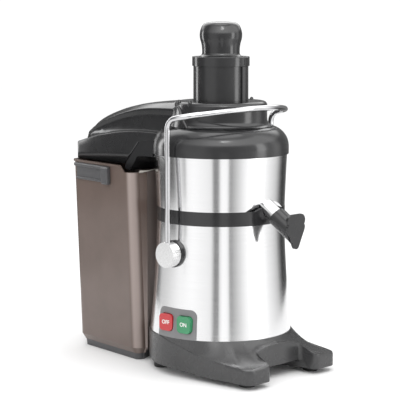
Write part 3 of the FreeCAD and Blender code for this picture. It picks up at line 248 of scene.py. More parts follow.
def plastic(name, dark, light, rough, coat=0.0):
    """Moulded plastic: fine spark-eroded grain and faint patches in its gloss."""
    new = Nodes(name)
    new.link(new.tint(new.noise(26.0, 4.0), dark, light), new.shader.inputs["Base Color"])
    new.mottle_gloss(rough)
    new.bump(new.noise(900.0, 2.0), 0.008, 0.1)
    if coat:
        new.fix("Coat Weight", coat)
        new.fix("Coat Roughness", 0.12)
    return new.material


# Directions out of the bin's two front corners, where its painted highlight goes.
HIGHLIGHT_FACING = (0.75, -0.66, 0.0)


def corner_highlight_share(new):
    """How much painted highlight a face gets, from 0 to 1: how nearly it looks out of one of the
    two front corners.
    """
    facing = new.add("ShaderNodeNewGeometry").outputs["Normal"]
    nearest = new.add("ShaderNodeMath", operation="MAXIMUM")
    for index, (_, side) in enumerate(SIDES):
        dot = new.add("ShaderNodeVectorMath", operation="DOT_PRODUCT")
        new.link(facing, dot.inputs[0])
        dot.inputs[1].default_value = (side * HIGHLIGHT_FACING[0], *HIGHLIGHT_FACING[1:])
        new.link(dot.outputs["Value"], nearest.inputs[index])
    share = new.add("ShaderNodeMapRange", interpolation_type="SMOOTHSTEP")
    share.inputs["From Min"].default_value = 0.78
    share.inputs["From Max"].default_value = 0.99
    new.link(nearest.outputs["Value"], share.inputs["Value"])
    return share.outputs["Result"]


def smoked_with_painted_highlight(name, dark, light, edge, rough):
    """Smoke-tinted plastic with a painted highlight: a paler colour painted where its rounded front
    corners face out.
    """
    new = Nodes(name)
    mix = new.add("ShaderNodeMix", data_type="RGBA")
    new.link(corner_highlight_share(new), mix.inputs["Factor"])
    new.link(new.tint(new.noise(26.0, 4.0), dark, light), mix.inputs["A"])
    # The painted highlight colour, mixed in on the front corners.
    mix.inputs["B"].default_value = (*edge, 1)
    new.link(mix.outputs["Result"], new.shader.inputs["Base Color"])
    new.mottle_gloss(rough)
    new.bump(new.noise(700.0, 2.0), 0.01, 0.2)
    return new.material


def brushed(name, dark, light, rough, stretch, lines=420.0, depth=0.012):
    """Brushed metal: hair lines run along the axes that stretch leaves short."""
    new = Nodes(name)
    hair = new.noise(lines, 5.0, stretch)
    new.link(new.tint(hair, dark, light), new.shader.inputs["Base Color"])
    new.link(new.spread(hair, rough - 0.04, rough + 0.05), new.shader.inputs["Roughness"])
    new.fix("Metallic", 1.0)
    new.bump(hair, depth, 0.2)
    return new.material


ROUND_BRUSH = (0.02, 0.02, 5.0)
EVEN = (1, 1, 1)

materials = {
    "moulding_charcoal": plastic("charcoal_moulding", (0.017, 0.017, 0.018),
                                 (0.022, 0.022, 0.023), 0.17),
    "stainless_brushed": brushed("brushed_stainless", (0.73, 0.73, 0.735),
                                 (0.79, 0.79, 0.795), 0.15, ROUND_BRUSH, 900.0, 0.004),
    "bail_chrome": brushed("polished_rod", (0.55, 0.55, 0.56), (0.62, 0.62, 0.63), 0.08, EVEN),
    "knob_steel": brushed("turned_steel", (0.72, 0.72, 0.72), (0.80, 0.80, 0.80), 0.24, EVEN),
    # The bin's last colour is a painted highlight for its rounded front corners.
    "bin_smoke": smoked_with_painted_highlight("smoked_bin_painted_highlight", (0.120, 0.088, 0.075), (0.136, 0.100, 0.086),
                        (0.30, 0.245, 0.225), 0.22),
    "bin_trim": plastic("bin_trim_plastic", (0.060, 0.060, 0.063), (0.072, 0.072, 0.076), 0.36),
    "panel_grey": plastic("panel_plastic", (0.17, 0.17, 0.173), (0.20, 0.20, 0.204), 0.38),
    "button_red": plastic("red_key", (0.44, 0.016, 0.022), (0.52, 0.024, 0.032), 0.24, coat=0.4),
    "button_green": plastic("green_key", (0.022, 0.22, 0.090), (0.034, 0.27, 0.115), 0.24,
                            coat=0.4),
    "rubber_black": plastic("black_rubber", (0.012, 0.012, 0.012), (0.020, 0.020, 0.020), 0.62),
    "plate_steel": brushed("plated_steel", (0.42, 0.42, 0.43), (0.52, 0.52, 0.53), 0.38, EVEN),
    "motor_iron": plastic("laminated_iron", (0.10, 0.10, 0.105), (0.14, 0.14, 0.145), 0.5),
    "winding_copper": brushed("enamelled_copper", (0.55, 0.24, 0.09), (0.66, 0.32, 0.14), 0.35,
                              (1, 1, 4)),
    "bell_aluminium": brushed("cast_aluminium", (0.56, 0.57, 0.58), (0.64, 0.65, 0.66), 0.42,
                              EVEN),
    "inner_plastic": plastic("inner_moulding", (0.05, 0.05, 0.05), (0.06, 0.06, 0.06), 0.5),
}
# The base's plastic: the charcoal moulding in a satin finish, its colour painted lighter as painted
# light from the white floor below.
SATIN_BASE_PAINTED_LIGHTER = plastic("satin_base_painted_lighter", (0.042, 0.042, 0.043), (0.050, 0.050, 0.051), 0.26)
LETTER_PAINT = plastic("letter_paint", (0.78, 0.78, 0.76), (0.86, 0.86, 0.84), 0.4)


def dress_frame():
    """Give every CAD node the material of its record slot."""
    for row in frame["record"]["subparts"]:
        item = nodes[row["node"]]
        if not item.material_slots:
            item.data.materials.append(None)
        for holder in item.material_slots:
            holder.material = materials[row["material_slot"]]


# --- base --------------------------------------------------------------------

BASE_BOTTOM, DECK = 7.4, 57.0
BASE_RADIUS, DECK_RADIUS, WELL_RADIUS = 105.2, 104.3, 88.0
ARCH_BOTTOM = 18.0
EDGE_ROUND, SKIRT_CHAMFER = 4.5, 1.2
DECK_RING = 99.0

# Plan of the right half, counted from the spindle: the arch's front edge, the leg's two sides
# and its tip, and the radii of the crease and of the leg's two corners.
ARCH_FRONT = -116.0
LEG_INNER, LEG_OUTER, LEG_TIP = 47.0, 93.0, -146.0
CREASE, INNER_CORNER, OUTER_CORNER = 7.0, 8.0, 12.0
LEG_START = ARCH_FRONT - CREASE
LEG_SIDE = LEG_TIP + OUTER_CORNER
HIP = (104.5, -12.0)


def arc_points(centre, radius, start, stop, count):
    """Points on an arc about centre, angles in degrees."""
    points = []
    for step in range(count + 1):
        angle = math.radians(blend(start, stop, step / count))
        points.append((centre[0] + radius * math.cos(angle),
                       centre[1] + radius * math.sin(angle)))
    return points


def straight(start, end, count):
    """Points inside a straight run, without its two ends."""
    return [(blend(start[0], end[0], step / count), blend(start[1], end[1], step / count))
            for step in range(1, count)]


# Height of the base's upper edge and the direction in which its face runs to the deck, both by
# the length along the front edge from its middle; then the heights of the lower and the upper
# edge by y along the side.
FRONT_EDGE = [(0, 51.0), (25, 49.2), (40, 45.5), (52, 39.8), (64, 34.5), (78, 31.0), (92, 29.4),
              (122, 29.0)]
FRONT_TURN = [(0, -90.0), (40, -72.0), (66, -62.0), (105, -51.0), (122, -46.5)]
SIDE_FOOT = [(-134, BASE_BOTTOM), (-70, 8.2), (-10, 12.0), (105, 13.0)]
SIDE_EDGE = [(-140, 29.0), (-99, 32.0), (-58, 37.5), (-13, 48.0), (24, DECK - 0.4)]


def base_half():
    """Right half of the base: plan point, angle on the deck circle, top edge, bottom edge."""
    side_turn = (-46.0, -8.5)
    crease_x, tip_x = LEG_INNER - CREASE, LEG_INNER + INNER_CORNER
    inner_end, outer_x = LEG_TIP + INNER_CORNER, LEG_OUTER - OUTER_CORNER
    front = (straight((-1.5, ARCH_FRONT), (crease_x, ARCH_FRONT), 16)
             + arc_points((crease_x, LEG_START), CREASE, 90, 0, 5))
    inner = straight((LEG_INNER, LEG_START), (LEG_INNER, inner_end), 6)
    tip = (arc_points((tip_x, inner_end), INNER_CORNER, 180, 270, 6)
           + straight((tip_x, LEG_TIP), (outer_x, LEG_TIP), 8)
           + arc_points((outer_x, LEG_SIDE), OUTER_CORNER, 270, 354, 8))
    column, length, before = [], 0.0, (0.0, ARCH_FRONT)
    for x, y in front + inner + tip:
        if x < 0:
            continue
        length += math.dist(before, (x, y))
        before = (x, y)
        low = ARCH_BOTTOM
        if y <= LEG_START:
            low = max(BASE_BOTTOM, blend(ARCH_BOTTOM, 0, (LEG_START - y) / 12))
        column.append((x, y, curve_through(FRONT_TURN, length), curve_through(FRONT_EDGE, length),
                       low if x < 50 else BASE_BOTTOM))
    for x, y in straight((LEG_OUTER, LEG_SIDE), HIP, 30):
        turn = blend(*side_turn, (y - LEG_SIDE) / (HIP[1] - LEG_SIDE))
        column.append((x, y, turn, curve_through(SIDE_EDGE, y), curve_through(SIDE_FOOT, y)))
    for x, y in arc_points((0, 0), BASE_RADIUS, -6.5, 90, 40):
        turn = math.degrees(math.atan2(y, x))
        column.append((x, y, turn, curve_through(SIDE_EDGE, min(y, 24)),
                       curve_through(SIDE_FOOT, y)))
    return column


def base_rows():
    """Rows of the base from the motor well under the floor, up the wall and over the deck."""
    half = base_half()
    other = [(-x, y, 180 - angle, top, low) for x, y, angle, top, low in reversed(half)]
    outline = [item for item in half + other if abs(item[0]) > 1e-6 or item[1] < 0]
    shares = [0.0, 0.06, 0.14, 0.24, 0.36, 0.48, 0.6, 0.72, 0.84, 0.93, 1.0]
    wall_rows, deck_rows = 6, 2
    rows = [[] for _ in range(wall_rows + len(shares) + deck_rows)]
    for x, y, angle, top, low in outline:
        east, north = math.cos(math.radians(angle)), math.sin(math.radians(angle))
        deck = Vector((DECK_RADIUS * east, DECK_RADIUS * north))
        edge = Vector((x, y))
        run = deck - edge
        inward = run.normalized()
        rounding = min(EDGE_ROUND, run.length * 0.45)
        well = (WELL_RADIUS * east, WELL_RADIUS * north)
        rows[0].append((*well, BASE_BOTTOM))
        skirt = edge + inward * SKIRT_CHAMFER
        rows[1].append((*skirt, low))
        rows[2].append((x, y, low + SKIRT_CHAMFER))
        rows[3].append((x, y, top - rounding * 1.6))
        rows[4].append((x, y, top - rounding))
        bend = edge + inward * rounding * 0.29
        rows[5].append((*bend, top - rounding * 0.29))
        start = edge + inward * rounding
        for index, share in enumerate(shares):
            spot = start + (deck - start) * share
            rise = share ** 2.1
            rows[wall_rows + index].append((*spot, blend(top, DECK, rise)))
        rows[-2].append((DECK_RING * east, DECK_RING * north, DECK))
        rows[-1].append((*well, DECK))
    rows.append(list(rows[0]))
    return rows


REAR_FOOT, BOSS_RADIUS, BOSS_TOP = (69.1, 53.3), 12.4, 20.0


def make_base():
    """Splayed base whose hollowed legs sweep up to the deck under the housing."""
    mesh = loft("base_shell", base_rows(), caps=False)
    # The base takes the satin plastic whose lighter colour is painted light from the floor.
    mesh.materials.append(SATIN_BASE_PAINTED_LIGHTER)
    add_piece("base_shell", mesh, "root", "moulding_charcoal", ["base_housing"])
    for name, side in SIDES:
        centre = (side * REAR_FOOT[0], REAR_FOOT[1])
        rows = [circle_row(BOSS_RADIUS, height, 24, centre) for height in (BASE_BOTTOM, BOSS_TOP)]
        boss = loft(f"foot_boss_{name}", rows)
        boss.materials.append(SATIN_BASE_PAINTED_LIGHTER)
        add_piece(f"foot_boss_{name}", boss, "root", "moulding_charcoal")


# --- pulp hood ------------------------------------------------------------------

DRUM_RADIUS, DRUM_TOP = 67.6, 391.5
HOOD_FOOT, HOOD_REAR, HOOD_WALL = 295.5, 243.0, 2.6
# The hood's cross-section by y: half widths of the skirt and the crown; heights of the ledge,
# of the crown's edge and of its middle.  SEAM gives the hood's front end by height.
HOOD_SKIRT = [(-12, 70.0), (60, 70.5), (120, 70.4), (180, 69.0), (215, 67.5), (243, 65.0)]
HOOD_LEDGE = [(-12, 344.0), (60, 344.8), (110, 344.6), (145, 341.8), (180, 336.8),
              (215, 329.0), (243, 321.5)]
HOOD_CROWN = [(-12, 60.0), (100, 60.0), (180, 59.0), (215, 57.0), (232, 52.0), (243, 45.0)]
HOOD_EDGE = [(-12, 381.0), (50, 380.8), (100, 378.5), (140, 371.5), (180, 359.5),
             (215, 344.5), (232, 332.5), (243, 324.0)]
HOOD_MIDDLE = [(-12, 391.0), (50, 391.0), (100, 387.5), (140, 382.0), (180, 371.5),
               (215, 356.0), (232, 341.5), (243, 327.0)]
SEAM = [(295.5, 132.0), (326.5, 104.4), (333.5, 96.4), (337.0, 84.0), (338.5, 30.0)]


def hood_section(y):
    """Right half of the hood's cross-section at y, from the foot up to the crown's middle."""
    skirt, ledge = curve_through(HOOD_SKIRT, y), curve_through(HOOD_LEDGE, y)
    crown, edge = curve_through(HOOD_CROWN, y), curve_through(HOOD_EDGE, y)
    middle = curve_through(HOOD_MIDDLE, y)
    tall = edge - ledge
    hollow = min(2.2, tall * 0.09)
    points = [
        (skirt, HOOD_FOOT), (skirt, blend(HOOD_FOOT, ledge, 0.35)),
        (skirt, blend(HOOD_FOOT, ledge, 0.7)), (skirt, ledge - 1.6), (skirt - 0.5, ledge - 0.4),
        (skirt - 1.6, ledge + 0.1), (blend(skirt, crown, 0.55), ledge + 0.7),
        (crown + 1.2, ledge + 1.6), (crown + 0.2, ledge + min(3.4, tall * 0.3)),
        (crown - hollow * 0.8, ledge + tall * 0.35), (crown - hollow, ledge + tall * 0.55),
        (crown - hollow * 0.6, ledge + tall * 0.75), (crown + 0.5, edge - tall * 0.09),
        (crown + 0.7, edge - tall * 0.04), (crown, edge), (crown - 2.0, edge + 0.7),
    ]
    for share in (0.85, 0.7, 0.5, 0.3, 0.12):
        rise = math.sqrt(max(1 - share ** 2.4, 0))
        points.append(((crown - 2) * share, blend(edge + 0.7, middle, rise)))
    points.append((0.0, middle))
    return points


def hood_start(x, z):
    """How far forward the hood reaches at (x, z): to the drum, or to the seam above the chute."""
    inside = DRUM_RADIUS - 1.5
    start = math.sqrt(inside ** 2 - x ** 2) if abs(x) < inside else -9.0
    if z < SEAM[-1][0]:
        return max(start, along(SEAM, z))
    if abs(x) > 55:
        start = max(min(start, 30.0), 0.0)
    return start


def make_hood():
    """Humped cover that carries the pulp from the lid back over the bin."""
    count = 46
    outline = hood_section(100)
    columns = [(1, index) for index in range(len(outline))]
    columns += [(-1, index) for index in reversed(range(len(outline) - 1))]
    rows = []
    for step in range(count + 1):
        share = step / count
        row = []
        for side, index in columns:
            x, z = outline[index]
            y = blend(hood_start(x, z), HOOD_REAR, share)
            for _ in range(3):
                x, z = hood_section(y)[index]
                y = blend(hood_start(x, z), HOOD_REAR, share)
            row.append((side * x, y, z))
        rows.append(row)
    tail = [(x * 0.985, y + 1.6, blend(z, 308, 0.03)) for x, y, z in rows[-1]]
    rows.append(tail)
    faces = sheet_faces(len(rows), len(columns))
    last = (len(rows) - 1) * len(columns)
    faces.append(tuple(range(last, last + len(columns))))
    points = [local(*point) for row in rows for point in row]
    mesh = new_mesh("hood_shell", points, faces, 50.0)
    piece = add_piece("hood_shell", mesh, "root", "moulding_charcoal", ["pulp_hood"])
    wall = piece.modifiers.new("wall", "SOLIDIFY")
    wall.thickness = HOOD_WALL * MM
    wall.offset = -1.0


CHEEK_FOOT, CHEEK_TOP = 76.0, 70.5
CHEEK_INNER, CHEEK_LOW, CHEEK_SHOULDER = 66.5, 350.0, 352.0


def make_cheeks():
    """Slanted cheeks that run forward from the hood along the lid's drum."""
    for name, side in SIDES:
        rows = []
        for step in range(25):
            turn = blend(-8.5, 42.0, step / 24)
            spot = math.sin(math.radians(turn)) * DRUM_RADIUS
            ridge = blend(386.5, 381.0, max(turn - 18, 0) / 24)
            top = max(min(CHEEK_SHOULDER + (spot + 9) * 34 / 31, ridge), CHEEK_SHOULDER + 1)
            outer = blend(CHEEK_FOOT, CHEEK_TOP, (top - CHEEK_SHOULDER) / 32)
            east = side * math.cos(math.radians(turn))
            north = math.sin(math.radians(turn))
            rows.append([(radius * east, radius * north, height) for radius, height in (
                (CHEEK_INNER, CHEEK_LOW), (CHEEK_FOOT, CHEEK_LOW), (outer, top - 1.5),
                (outer - 1.4, top), (CHEEK_INNER, top + 0.6))])
        mesh = loft(f"hood_cheek_{name}", rows)
        add_piece(f"hood_cheek_{name}", mesh, "root", "moulding_charcoal")


DETENT_RADIUS, DETENT_REACH = 64.6, 3.2
DETENTS = ((25.0, 9.0), (-1.0, 5.0))
DETENT_PROFILE = ((-6, 1.0), (-1.5, 1.0), (1.2, 0.86), (2.6, 0.55), (3.0, 0.2))


def make_detents():
    """Two low humps on each side that the bail snaps between."""
    for name, side in SIDES:
        for index, (turn, width) in enumerate(DETENTS):
            centre = Vector((side * math.cos(math.radians(turn)), math.sin(math.radians(turn)), 0))
            across = Vector((-centre.y, centre.x, 0))
            rows = []
            for lift, grow in DETENT_PROFILE:
                row = []
                for step in range(16):
                    angle = 2 * math.pi * step / 16
                    reach = DETENT_RADIUS + DETENT_REACH * grow * math.cos(angle)
                    spot = centre * reach + across * (width / 2 * grow * math.sin(angle))
                    row.append((spot.x, spot.y, DRUM_TOP + lift))
                rows.append(row)
            mesh = loft(f"bail_detent_{name}_{index}", rows)
            add_piece(f"bail_detent_{name}_{index}", mesh, "root", "moulding_charcoal")


FLARE_WIDTH, FLARE_HEIGHT, FLARE_FOOT = 9.0, 11.0, 355.8
FLARE_BACK = ((64.0, 367.0), (64.0, 355.0), (76.7, 355.0))


def make_lid_flare():
    """Concave flare where the lid's drum runs out onto its shoulder."""
    rows = []
    for step in range(9):
        angle = math.radians(90 * step / 8)
        rows.append(circle_row(DRUM_RADIUS + 0.1 + FLARE_WIDTH * (1 - math.sin(angle)),
                               FLARE_FOOT + FLARE_HEIGHT * (1 - math.cos(angle))))
    for radius, height in FLARE_BACK:
        rows.append(circle_row(radius, height))
    mesh = loft("lid_flare", rows, caps=False)
    add_piece("lid_flare", mesh, "root", "moulding_charcoal")


# --- spout saddle ---------------------------------------------------------------

RING_RADIUS, RING_FOOT, RING_TOP = 94.1, 221.0, 239.7
SPOUT_RADIUS, SPOUT_CROSSING, SPOUT_DROP = 11.3, 243.7, 32.5
SADDLE_HALF, SADDLE_PEAK, SADDLE_INNER = 26.0, 244.5, 90.6


def saddle_top(x):
    """Upper edge of the saddle: it climbs from the ring and dips under the tube."""
    reach = abs(x)
    if reach < SPOUT_RADIUS:
        sag = math.sqrt(SPOUT_RADIUS ** 2 - x ** 2) / math.cos(math.radians(SPOUT_DROP))
        return min(SPOUT_CROSSING - sag, SADDLE_PEAK)
    return along([(SPOUT_RADIUS, SADDLE_PEAK), (SADDLE_HALF, RING_TOP)], reach)


def make_spout_saddle():
    """The housing ring rises in a saddle round the underside of the spout."""
    rows = []
    for step in range(41):
        x = blend(-SADDLE_HALF, SADDLE_HALF, step / 40)
        top, outer = saddle_top(x), RING_RADIUS + 0.15
        row = []
        for radius, height in ((SADDLE_INNER, RING_FOOT), (outer, RING_FOOT), (outer, top - 0.8),
                               (RING_RADIUS - 0.7, top), (SADDLE_INNER, top)):
            row.append((x, -math.sqrt(radius ** 2 - x ** 2), height))
        rows.append(row)
    mesh = loft("spout_saddle", rows)
    add_piece("spout_saddle", mesh, "root", "moulding_charcoal")


# --- pulp bin ---------------------------------------------------------------------

# The bin's outside: heights, the y of its walls, half widths, and what the walls draw in by.
BIN = {"rim": 294.0, "floor": 10.0, "front": 98.0, "rear": 252.0, "front_x": 88.0,
       "rear_x": 70.0, "draft": 12.0, "front_corner": 16.0, "rear_corner": 12.0}


def bin_wall_x(y, z):
    """Half width of the bin's side wall at a place."""
    draft = BIN["draft"] * (BIN["rim"] - z) / (BIN["rim"] - BIN["floor"])
    start = BIN["front"] + BIN["front_corner"]
    stop = BIN["rear"] - BIN["rear_corner"]
    share = (y - start) / (stop - start)
    return blend(BIN["front_x"] - 1.2, BIN["rear_x"] + 1.0, share) - draft


def wall_block(side, run, rise, out):
    """A block on the bin's side wall: run along y, rise in z, out from the wall."""
    rows = []
    for y in run:
        row = []
        for z, step in ((rise[0], out[0]), (rise[0], out[1]), (rise[1], out[1]), (rise[1], out[0])):
            row.append((side * (bin_wall_x(y, z) + step), y, z))
        rows.append(row)
    return rows


# Each grip's blocks: name, run along y, rise in z, out from the wall, rounding.
GRIP_PARTS = (
    ("plate", (153, 239), (266.5, 287), (-1.0, 1.4), 0.5),
    ("rail", (153, 241), (284.5, 289.5), (-1.0, 5.4), 1.6),
    ("sill", (166, 240), (264.5, 268.0), (-1.0, 3.0), 1.0),
    ("bar", (150, 167), (262.5, 289.5), (-1.0, 8.6), 3.2),
)


def make_grips():
    """Moulded finger grips: a back plate, a rail over it, a sill and a thick front bar."""
    for name, side in SIDES:
        for index, (part, run, rise, out, rounding) in enumerate(GRIP_PARTS):
            mesh = loft(f"grip_{part}_{name}", wall_block(side, run, rise, out))
            replaced = [f"bin_grip_{name}"] if index == 0 else []
            piece = add_piece(f"grip_{part}_{name}", mesh, "bin", "bin_trim", replaced)
            soften(piece, rounding)


LIP_NEST, LIP_HEIGHT, LIP_HALF = 112.0, 284.6, 74.0
LIP_PROFILE = ((1.0, -0.8), (1.0, 0.4), (-3.0, 2.2), (-6.5, 3.0), (-7.0, 2.2), (-3.0, 1.0))


def make_bin_lip():
    """Thin flange that curls forward from the bin's front rim; its pale colour is a painted
    highlight.
    """
    rows = []
    for reach, lift in LIP_PROFILE:
        row = []
        for step in range(33):
            x = blend(-LIP_HALF, LIP_HALF, step / 32)
            y = math.sqrt(LIP_NEST ** 2 - x ** 2) if abs(x) < 58 else 95.8
            fade = min(1.0, (LIP_HALF - abs(x)) / 10.0 + 0.25)
            row.append((x, y + reach * fade, LIP_HEIGHT + lift))
        rows.append(row)
    mesh = loft("bin_front_lip", rows, closed=False, caps=False)
    # Pale colour: a painted highlight in place of the light the glossy flange reflects.
    mesh.materials.append(plastic("lip_painted_highlight", (0.62, 0.59, 0.54), (0.70, 0.67, 0.62), 0.35))
    add_piece("bin_front_lip", mesh, "bin", "bin_smoke")


# --- keys --------------------------------------------------------------------------

PANEL_TURN, KEY_PITCH, KEY_FACE, KEY_LEVEL = 5.0, 33.0, 104.8, 78.2
LETTER_SIZE, LETTER_DEPTH = 8.0, 0.12


def make_letters():
    """Generic OFF and ON lettering printed on the two keys."""
    turn = math.radians(PANEL_TURN)
    outward = Vector((-math.cos(turn), -math.sin(turn), 0))
    across = Vector((math.sin(turn), -math.cos(turn), 0))
    for word, side, body, slot in (("OFF", -1, "off_key", "button_red"),
                                   ("ON", 1, "on_key", "button_green")):
        text = bpy.data.curves.new(f"letters_{word}", "FONT")
        text.body = word
        text.size = LETTER_SIZE * MM
        text.align_x = "CENTER"
        text.align_y = "CENTER"
        text.extrude = LETTER_DEPTH * MM
        text.offset = LETTER_DEPTH * MM
        spot = outward * (KEY_FACE + 0.1) + across * (side * KEY_PITCH / 2)
        axes = (across, Vector((0, 0, 1)), outward)
        turned = Matrix([[axis[row] for axis in axes] for row in range(3)]).to_4x4()
        holder = bpy.data.objects.new(f"letters_{word}", text)
        bpy.context.scene.collection.objects.link(holder)
        depsgraph = bpy.context.evaluated_depsgraph_get()
        mesh = bpy.data.meshes.new_from_object(holder.evaluated_get(depsgraph))
        bpy.data.objects.remove(holder)
        mesh.transform(Matrix.Translation(local(spot.x, spot.y, KEY_LEVEL)) @ turned)
        mesh.materials.clear()
        mesh.materials.append(LETTER_PAINT)
        add_piece(f"letters_{word}", mesh, body, slot)


# --- CAD pieces that keep their mesh --------------------------------------------------

def round_frame_edges():
    """Small mould radii on the CAD pieces whose edges show."""
    radii = {
        "spout_cap": 1.0, "pivot_knob_left": 0.8, "pivot_knob_right": 0.8, "on_button": 1.4,
        "off_button": 1.4, "switch_panel": 0.5, "pulp_chute": 0.7, "pusher": 0.5,
        "feed_tube": 0.5, "housing_ring": 0.5, "pulp_bin": 0.6, "bin_foot": 0.8,
        "lid_cover": 0.5, "rubber_feet": 0.6,
    }
    for node, width in radii.items():
        soften(nodes[node], width, 2, 40.0)


# --- studio -----------------------------------------------------------------

def make_camera():
    """Long lens from the front left, a little above the middle."""
    turn, pitch = math.radians(CAMERA["turn"]), math.radians(CAMERA["pitch"])
    forward = Vector((math.sin(turn), math.cos(turn), 0))
    right = Vector((forward.y, -forward.x, 0))
    spindle = Vector((0, SPINDLE_Y, 0))
    spot = spindle - forward * CAMERA["distance"] + right * CAMERA["side_step"]
    spot.z = CAMERA["height"]
    look = forward * math.cos(pitch) - Vector((0, 0, math.sin(pitch)))
    data = bpy.data.cameras.new("camera")
    data.lens = CAMERA["lens"]
    data.sensor_width = 36.0
    data.clip_end = 50.0
    camera = bpy.data.objects.new("camera", data)
    aim = look.to_track_quat("-Z", "Y").to_matrix().to_4x4()
    camera.matrix_world = Matrix.Translation(spot * MM) @ aim
    bpy.context.scene.collection.objects.link(camera)
    bpy.context.scene.camera = camera


def make_floor():
    """Plain pale bench."""
    half = 6.0
    mesh = new_mesh("floor", [(-half, -half, 0), (half, -half, 0), (half, half, 0),
                              (-half, half, 0)], [(0, 1, 2, 3)])
    floor = bpy.data.objects.new("floor", mesh)
    bpy.context.scene.collection.objects.link(floor)
    paint = Nodes("pale_floor")
    paint.link(paint.tint(paint.noise(3.0), (0.93, 0.93, 0.93), (0.95, 0.95, 0.95)),
               paint.shader.inputs["Base Color"])
    paint.fix("Roughness", 0.9)
    paint.fix("Specular IOR Level", 0.1)
    mesh.materials.append(paint.material)


# Brightness of the studio tent by compass angle round the spindle, counted from the camera's
# side; low stops are the gaps between its panels.  The tent is stacked in bands, and TENT_TONES
# gives each band's stops with the height in metres that it ends at.  The two lowest bands face
# the steel, the next faces the lid and the hood, and the last two close the tent overhead.
TENT_RADIUS = 0.75
TENT_LEVELS = (0.002, 0.115, 0.145, 0.225, 0.255, 0.60, 0.72, 1.35, 1.55, 2.4)
FOOT_STOPS = [
    (-180, 0.10), (-150, 0.12), (-128, 0.20), (-116, 0.72), (-100, 0.85), (-70, 1.22),
    (-47, 1.30), (-15, 1.10), (-12, 0.22), (-4, 0.30), (-1, 1.32), (11, 1.30), (14, 0.30),
    (22, 0.62), (37, 1.15), (48, 1.42), (53, 2.2), (68, 2.2), (72, 1.42), (86, 1.12),
    (100, 0.88), (109, 0.68), (118, 0.28), (128, 0.05), (145, 0.08), (160, 0.30), (180, 0.22),
]
BOWL_STOPS = [
    (-180, 0.10), (-96, 0.13), (-84, 0.16), (-79, 0.80), (-70, 0.98), (-62, 0.45), (-58, 1.22),
] + [stop for stop in FOOT_STOPS if stop[0] > -50]
HIGH_STOPS = [
    (-180, 0.20), (-124, 0.22), (-121, 5.5), (-113, 5.5), (-110, 0.22), (-75, 0.25), (-62, 1.0),
    (-30, 1.1), (-12, 0.6), (10, 0.6), (40, 0.9), (57, 1.1), (61, 5.0), (74, 5.0), (78, 0.8),
    (100, 1.6), (118, 0.3), (180, 0.20),
]
SKY_STOPS = [
    (-180, 2.6), (-130, 2.4), (-112, 0.4), (-85, 0.4), (-60, 1.8), (-20, 3.2), (25, 3.6),
    (60, 3.0), (100, 2.4), (125, 0.8), (145, 2.4), (180, 2.6),
]
ROOF_STOPS = [(-180, 1.4), (180, 1.4)]
TENT_TONES = ((0.13, FOOT_STOPS), (0.24, BOWL_STOPS), (0.66, HIGH_STOPS), (1.4, SKY_STOPS),
              (9.0, ROOF_STOPS))
CEILING_HALF, CEILING_HEIGHT, CEILING_GLOW = 0.6, 2.3, 3.2
SPOT_TURN, SPOT_REACH, SPOT_HALF = 8.6, 0.72, 0.11
SPOT_LOW, SPOT_HIGH, SPOT_GLOW = 1.02, 1.22, 14.0
TOWARD_CAMERA = -90.0 - CAMERA["turn"]


def glow_paint(name, strength):
    """Plain emission of one strength."""
    paint = Nodes(name)
    paint.tree.nodes.remove(paint.shader)
    glow = paint.add("ShaderNodeEmission")
    glow.inputs["Strength"].default_value = strength
    paint.link(glow.outputs["Emission"], paint.tree.nodes["Material Output"].inputs["Surface"])
    return paint.material


def hide_from_all_but_gloss(item):
    """Only reflections see the item."""
    item.visible_camera = False
    item.visible_diffuse = False
    item.visible_transmission = False
    item.visible_shadow = False
    item.visible_volume_scatter = False


def tent_tone(stops, angle):
    """Brightness at an angle, straight between its stops."""
    for (a, low), (b, high) in zip(stops, stops[1:]):
        if angle <= b:
            return blend(low, high, (angle - a) / (b - a))
    return stops[-1][1]


def tent_mesh():
    """The tent's ring of panels, with its brightness stored on the points."""
    count, points = 720, []
    for height in TENT_LEVELS:
        for step in range(count):
            angle = 2 * math.pi * step / count
            points.append(Vector((TENT_RADIUS * math.cos(angle),
                                  SPINDLE_Y * MM + TENT_RADIUS * math.sin(angle), height)))
    mesh = new_mesh("tent", points, sheet_faces(len(TENT_LEVELS), count, True))
    tone = mesh.color_attributes.new("tone", "FLOAT_COLOR", "POINT")
    for index, vertex in enumerate(mesh.vertices):
        spot = vertex.co - Vector((0, SPINDLE_Y * MM, 0))
        angle = math.degrees(math.atan2(spot.y, spot.x)) - TOWARD_CAMERA
        angle = (angle + 180) % 360 - 180
        stops = next(band for top, band in TENT_TONES if spot.z < top)
        value = tent_tone(stops, angle)
        tone.data[index].color = (value, value, value, 1)
    return mesh


def make_tent():
    """Light tent: a ring of panels that only reflections see."""
    mesh = tent_mesh()
    tent = bpy.data.objects.new("tent", mesh)
    bpy.context.scene.collection.objects.link(tent)
    paint = Nodes("tent_panels")
    paint.tree.nodes.remove(paint.shader)
    source = paint.add("ShaderNodeAttribute", attribute_name="tone")
    glow = paint.add("ShaderNodeEmission")
    paint.link(source.outputs["Color"], glow.inputs["Color"])
    paint.link(glow.outputs["Emission"], paint.tree.nodes["Material Output"].inputs["Surface"])
    mesh.materials.append(paint.material)
    hide_from_all_but_gloss(tent)


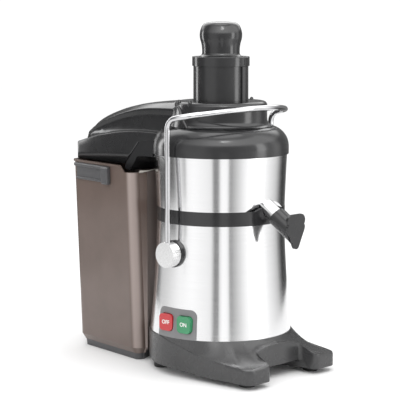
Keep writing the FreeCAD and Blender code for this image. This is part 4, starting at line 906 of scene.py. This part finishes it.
def make_ceiling():
    """Bright panel over the machine that only reflections see."""
    half, height = CEILING_HALF, CEILING_HEIGHT
    mesh = new_mesh("ceiling", [(-half, -half, height), (half, -half, height),
                                (half, half, height), (-half, half, height)], [(0, 1, 2, 3)])
    panel = bpy.data.objects.new("ceiling", mesh)
    bpy.context.scene.collection.objects.link(panel)
    mesh.materials.append(glow_paint("ceiling_panel", CEILING_GLOW))
    hide_from_all_but_gloss(panel)


def make_spot_panel():
    """Small bright panel high in front of the machine: the spark on the lid and the knob."""
    turn = math.radians(TOWARD_CAMERA + SPOT_TURN)
    outward = Vector((math.cos(turn), math.sin(turn), 0))
    across = Vector((-outward.y, outward.x, 0)) * SPOT_HALF
    middle = Vector((0, SPINDLE_Y * MM, 0)) + outward * SPOT_REACH
    corners = [middle + across * side + Vector((0, 0, height))
               for side, height in ((-1, SPOT_LOW), (1, SPOT_LOW), (1, SPOT_HIGH), (-1, SPOT_HIGH))]
    mesh = new_mesh("spot_panel", corners, [(0, 1, 2, 3)])
    panel = bpy.data.objects.new("spot_panel", mesh)
    bpy.context.scene.collection.objects.link(panel)
    mesh.materials.append(glow_paint("spot_glow", SPOT_GLOW))
    hide_from_all_but_gloss(panel)


def make_lamp(name, spot, target, size, power):
    """Rectangular lamp at spot, aimed at target; metres and watts."""
    data = bpy.data.lights.new(name, "AREA")
    data.shape = "RECTANGLE"
    data.size, data.size_y = size
    data.energy = power
    lamp = bpy.data.objects.new(name, data)
    aim = (Vector(target) - Vector(spot)).to_track_quat("-Z", "Y").to_matrix().to_4x4()
    lamp.matrix_world = Matrix.Translation(Vector(spot)) @ aim
    bpy.context.scene.collection.objects.link(lamp)


def make_world():
    """Even white light from all round."""
    world = bpy.data.worlds.new("studio")
    world.use_nodes = True
    bpy.context.scene.world = world
    glow = world.node_tree.nodes["Background"]
    glow.inputs["Color"].default_value = (1, 1, 1, 1)
    glow.inputs["Strength"].default_value = 1.08
    bpy.context.scene.view_settings.view_transform = "Standard"


dress_frame()
round_frame_edges()
make_base()
make_hood()
make_cheeks()
make_detents()
make_lid_flare()
make_spout_saddle()
make_grips()
make_bin_lip()
make_letters()
make_camera()
make_floor()
make_tent()
make_world()
make_ceiling()
make_spot_panel()
make_lamp("key", (-1.6, -1.3, 1.9), (0, 0, 0.25), (1.2, 1.2), 14)
make_lamp("top", (0.3, -0.3, 2.6), (0, 0, 0.2), (1.8, 1.8), 16)
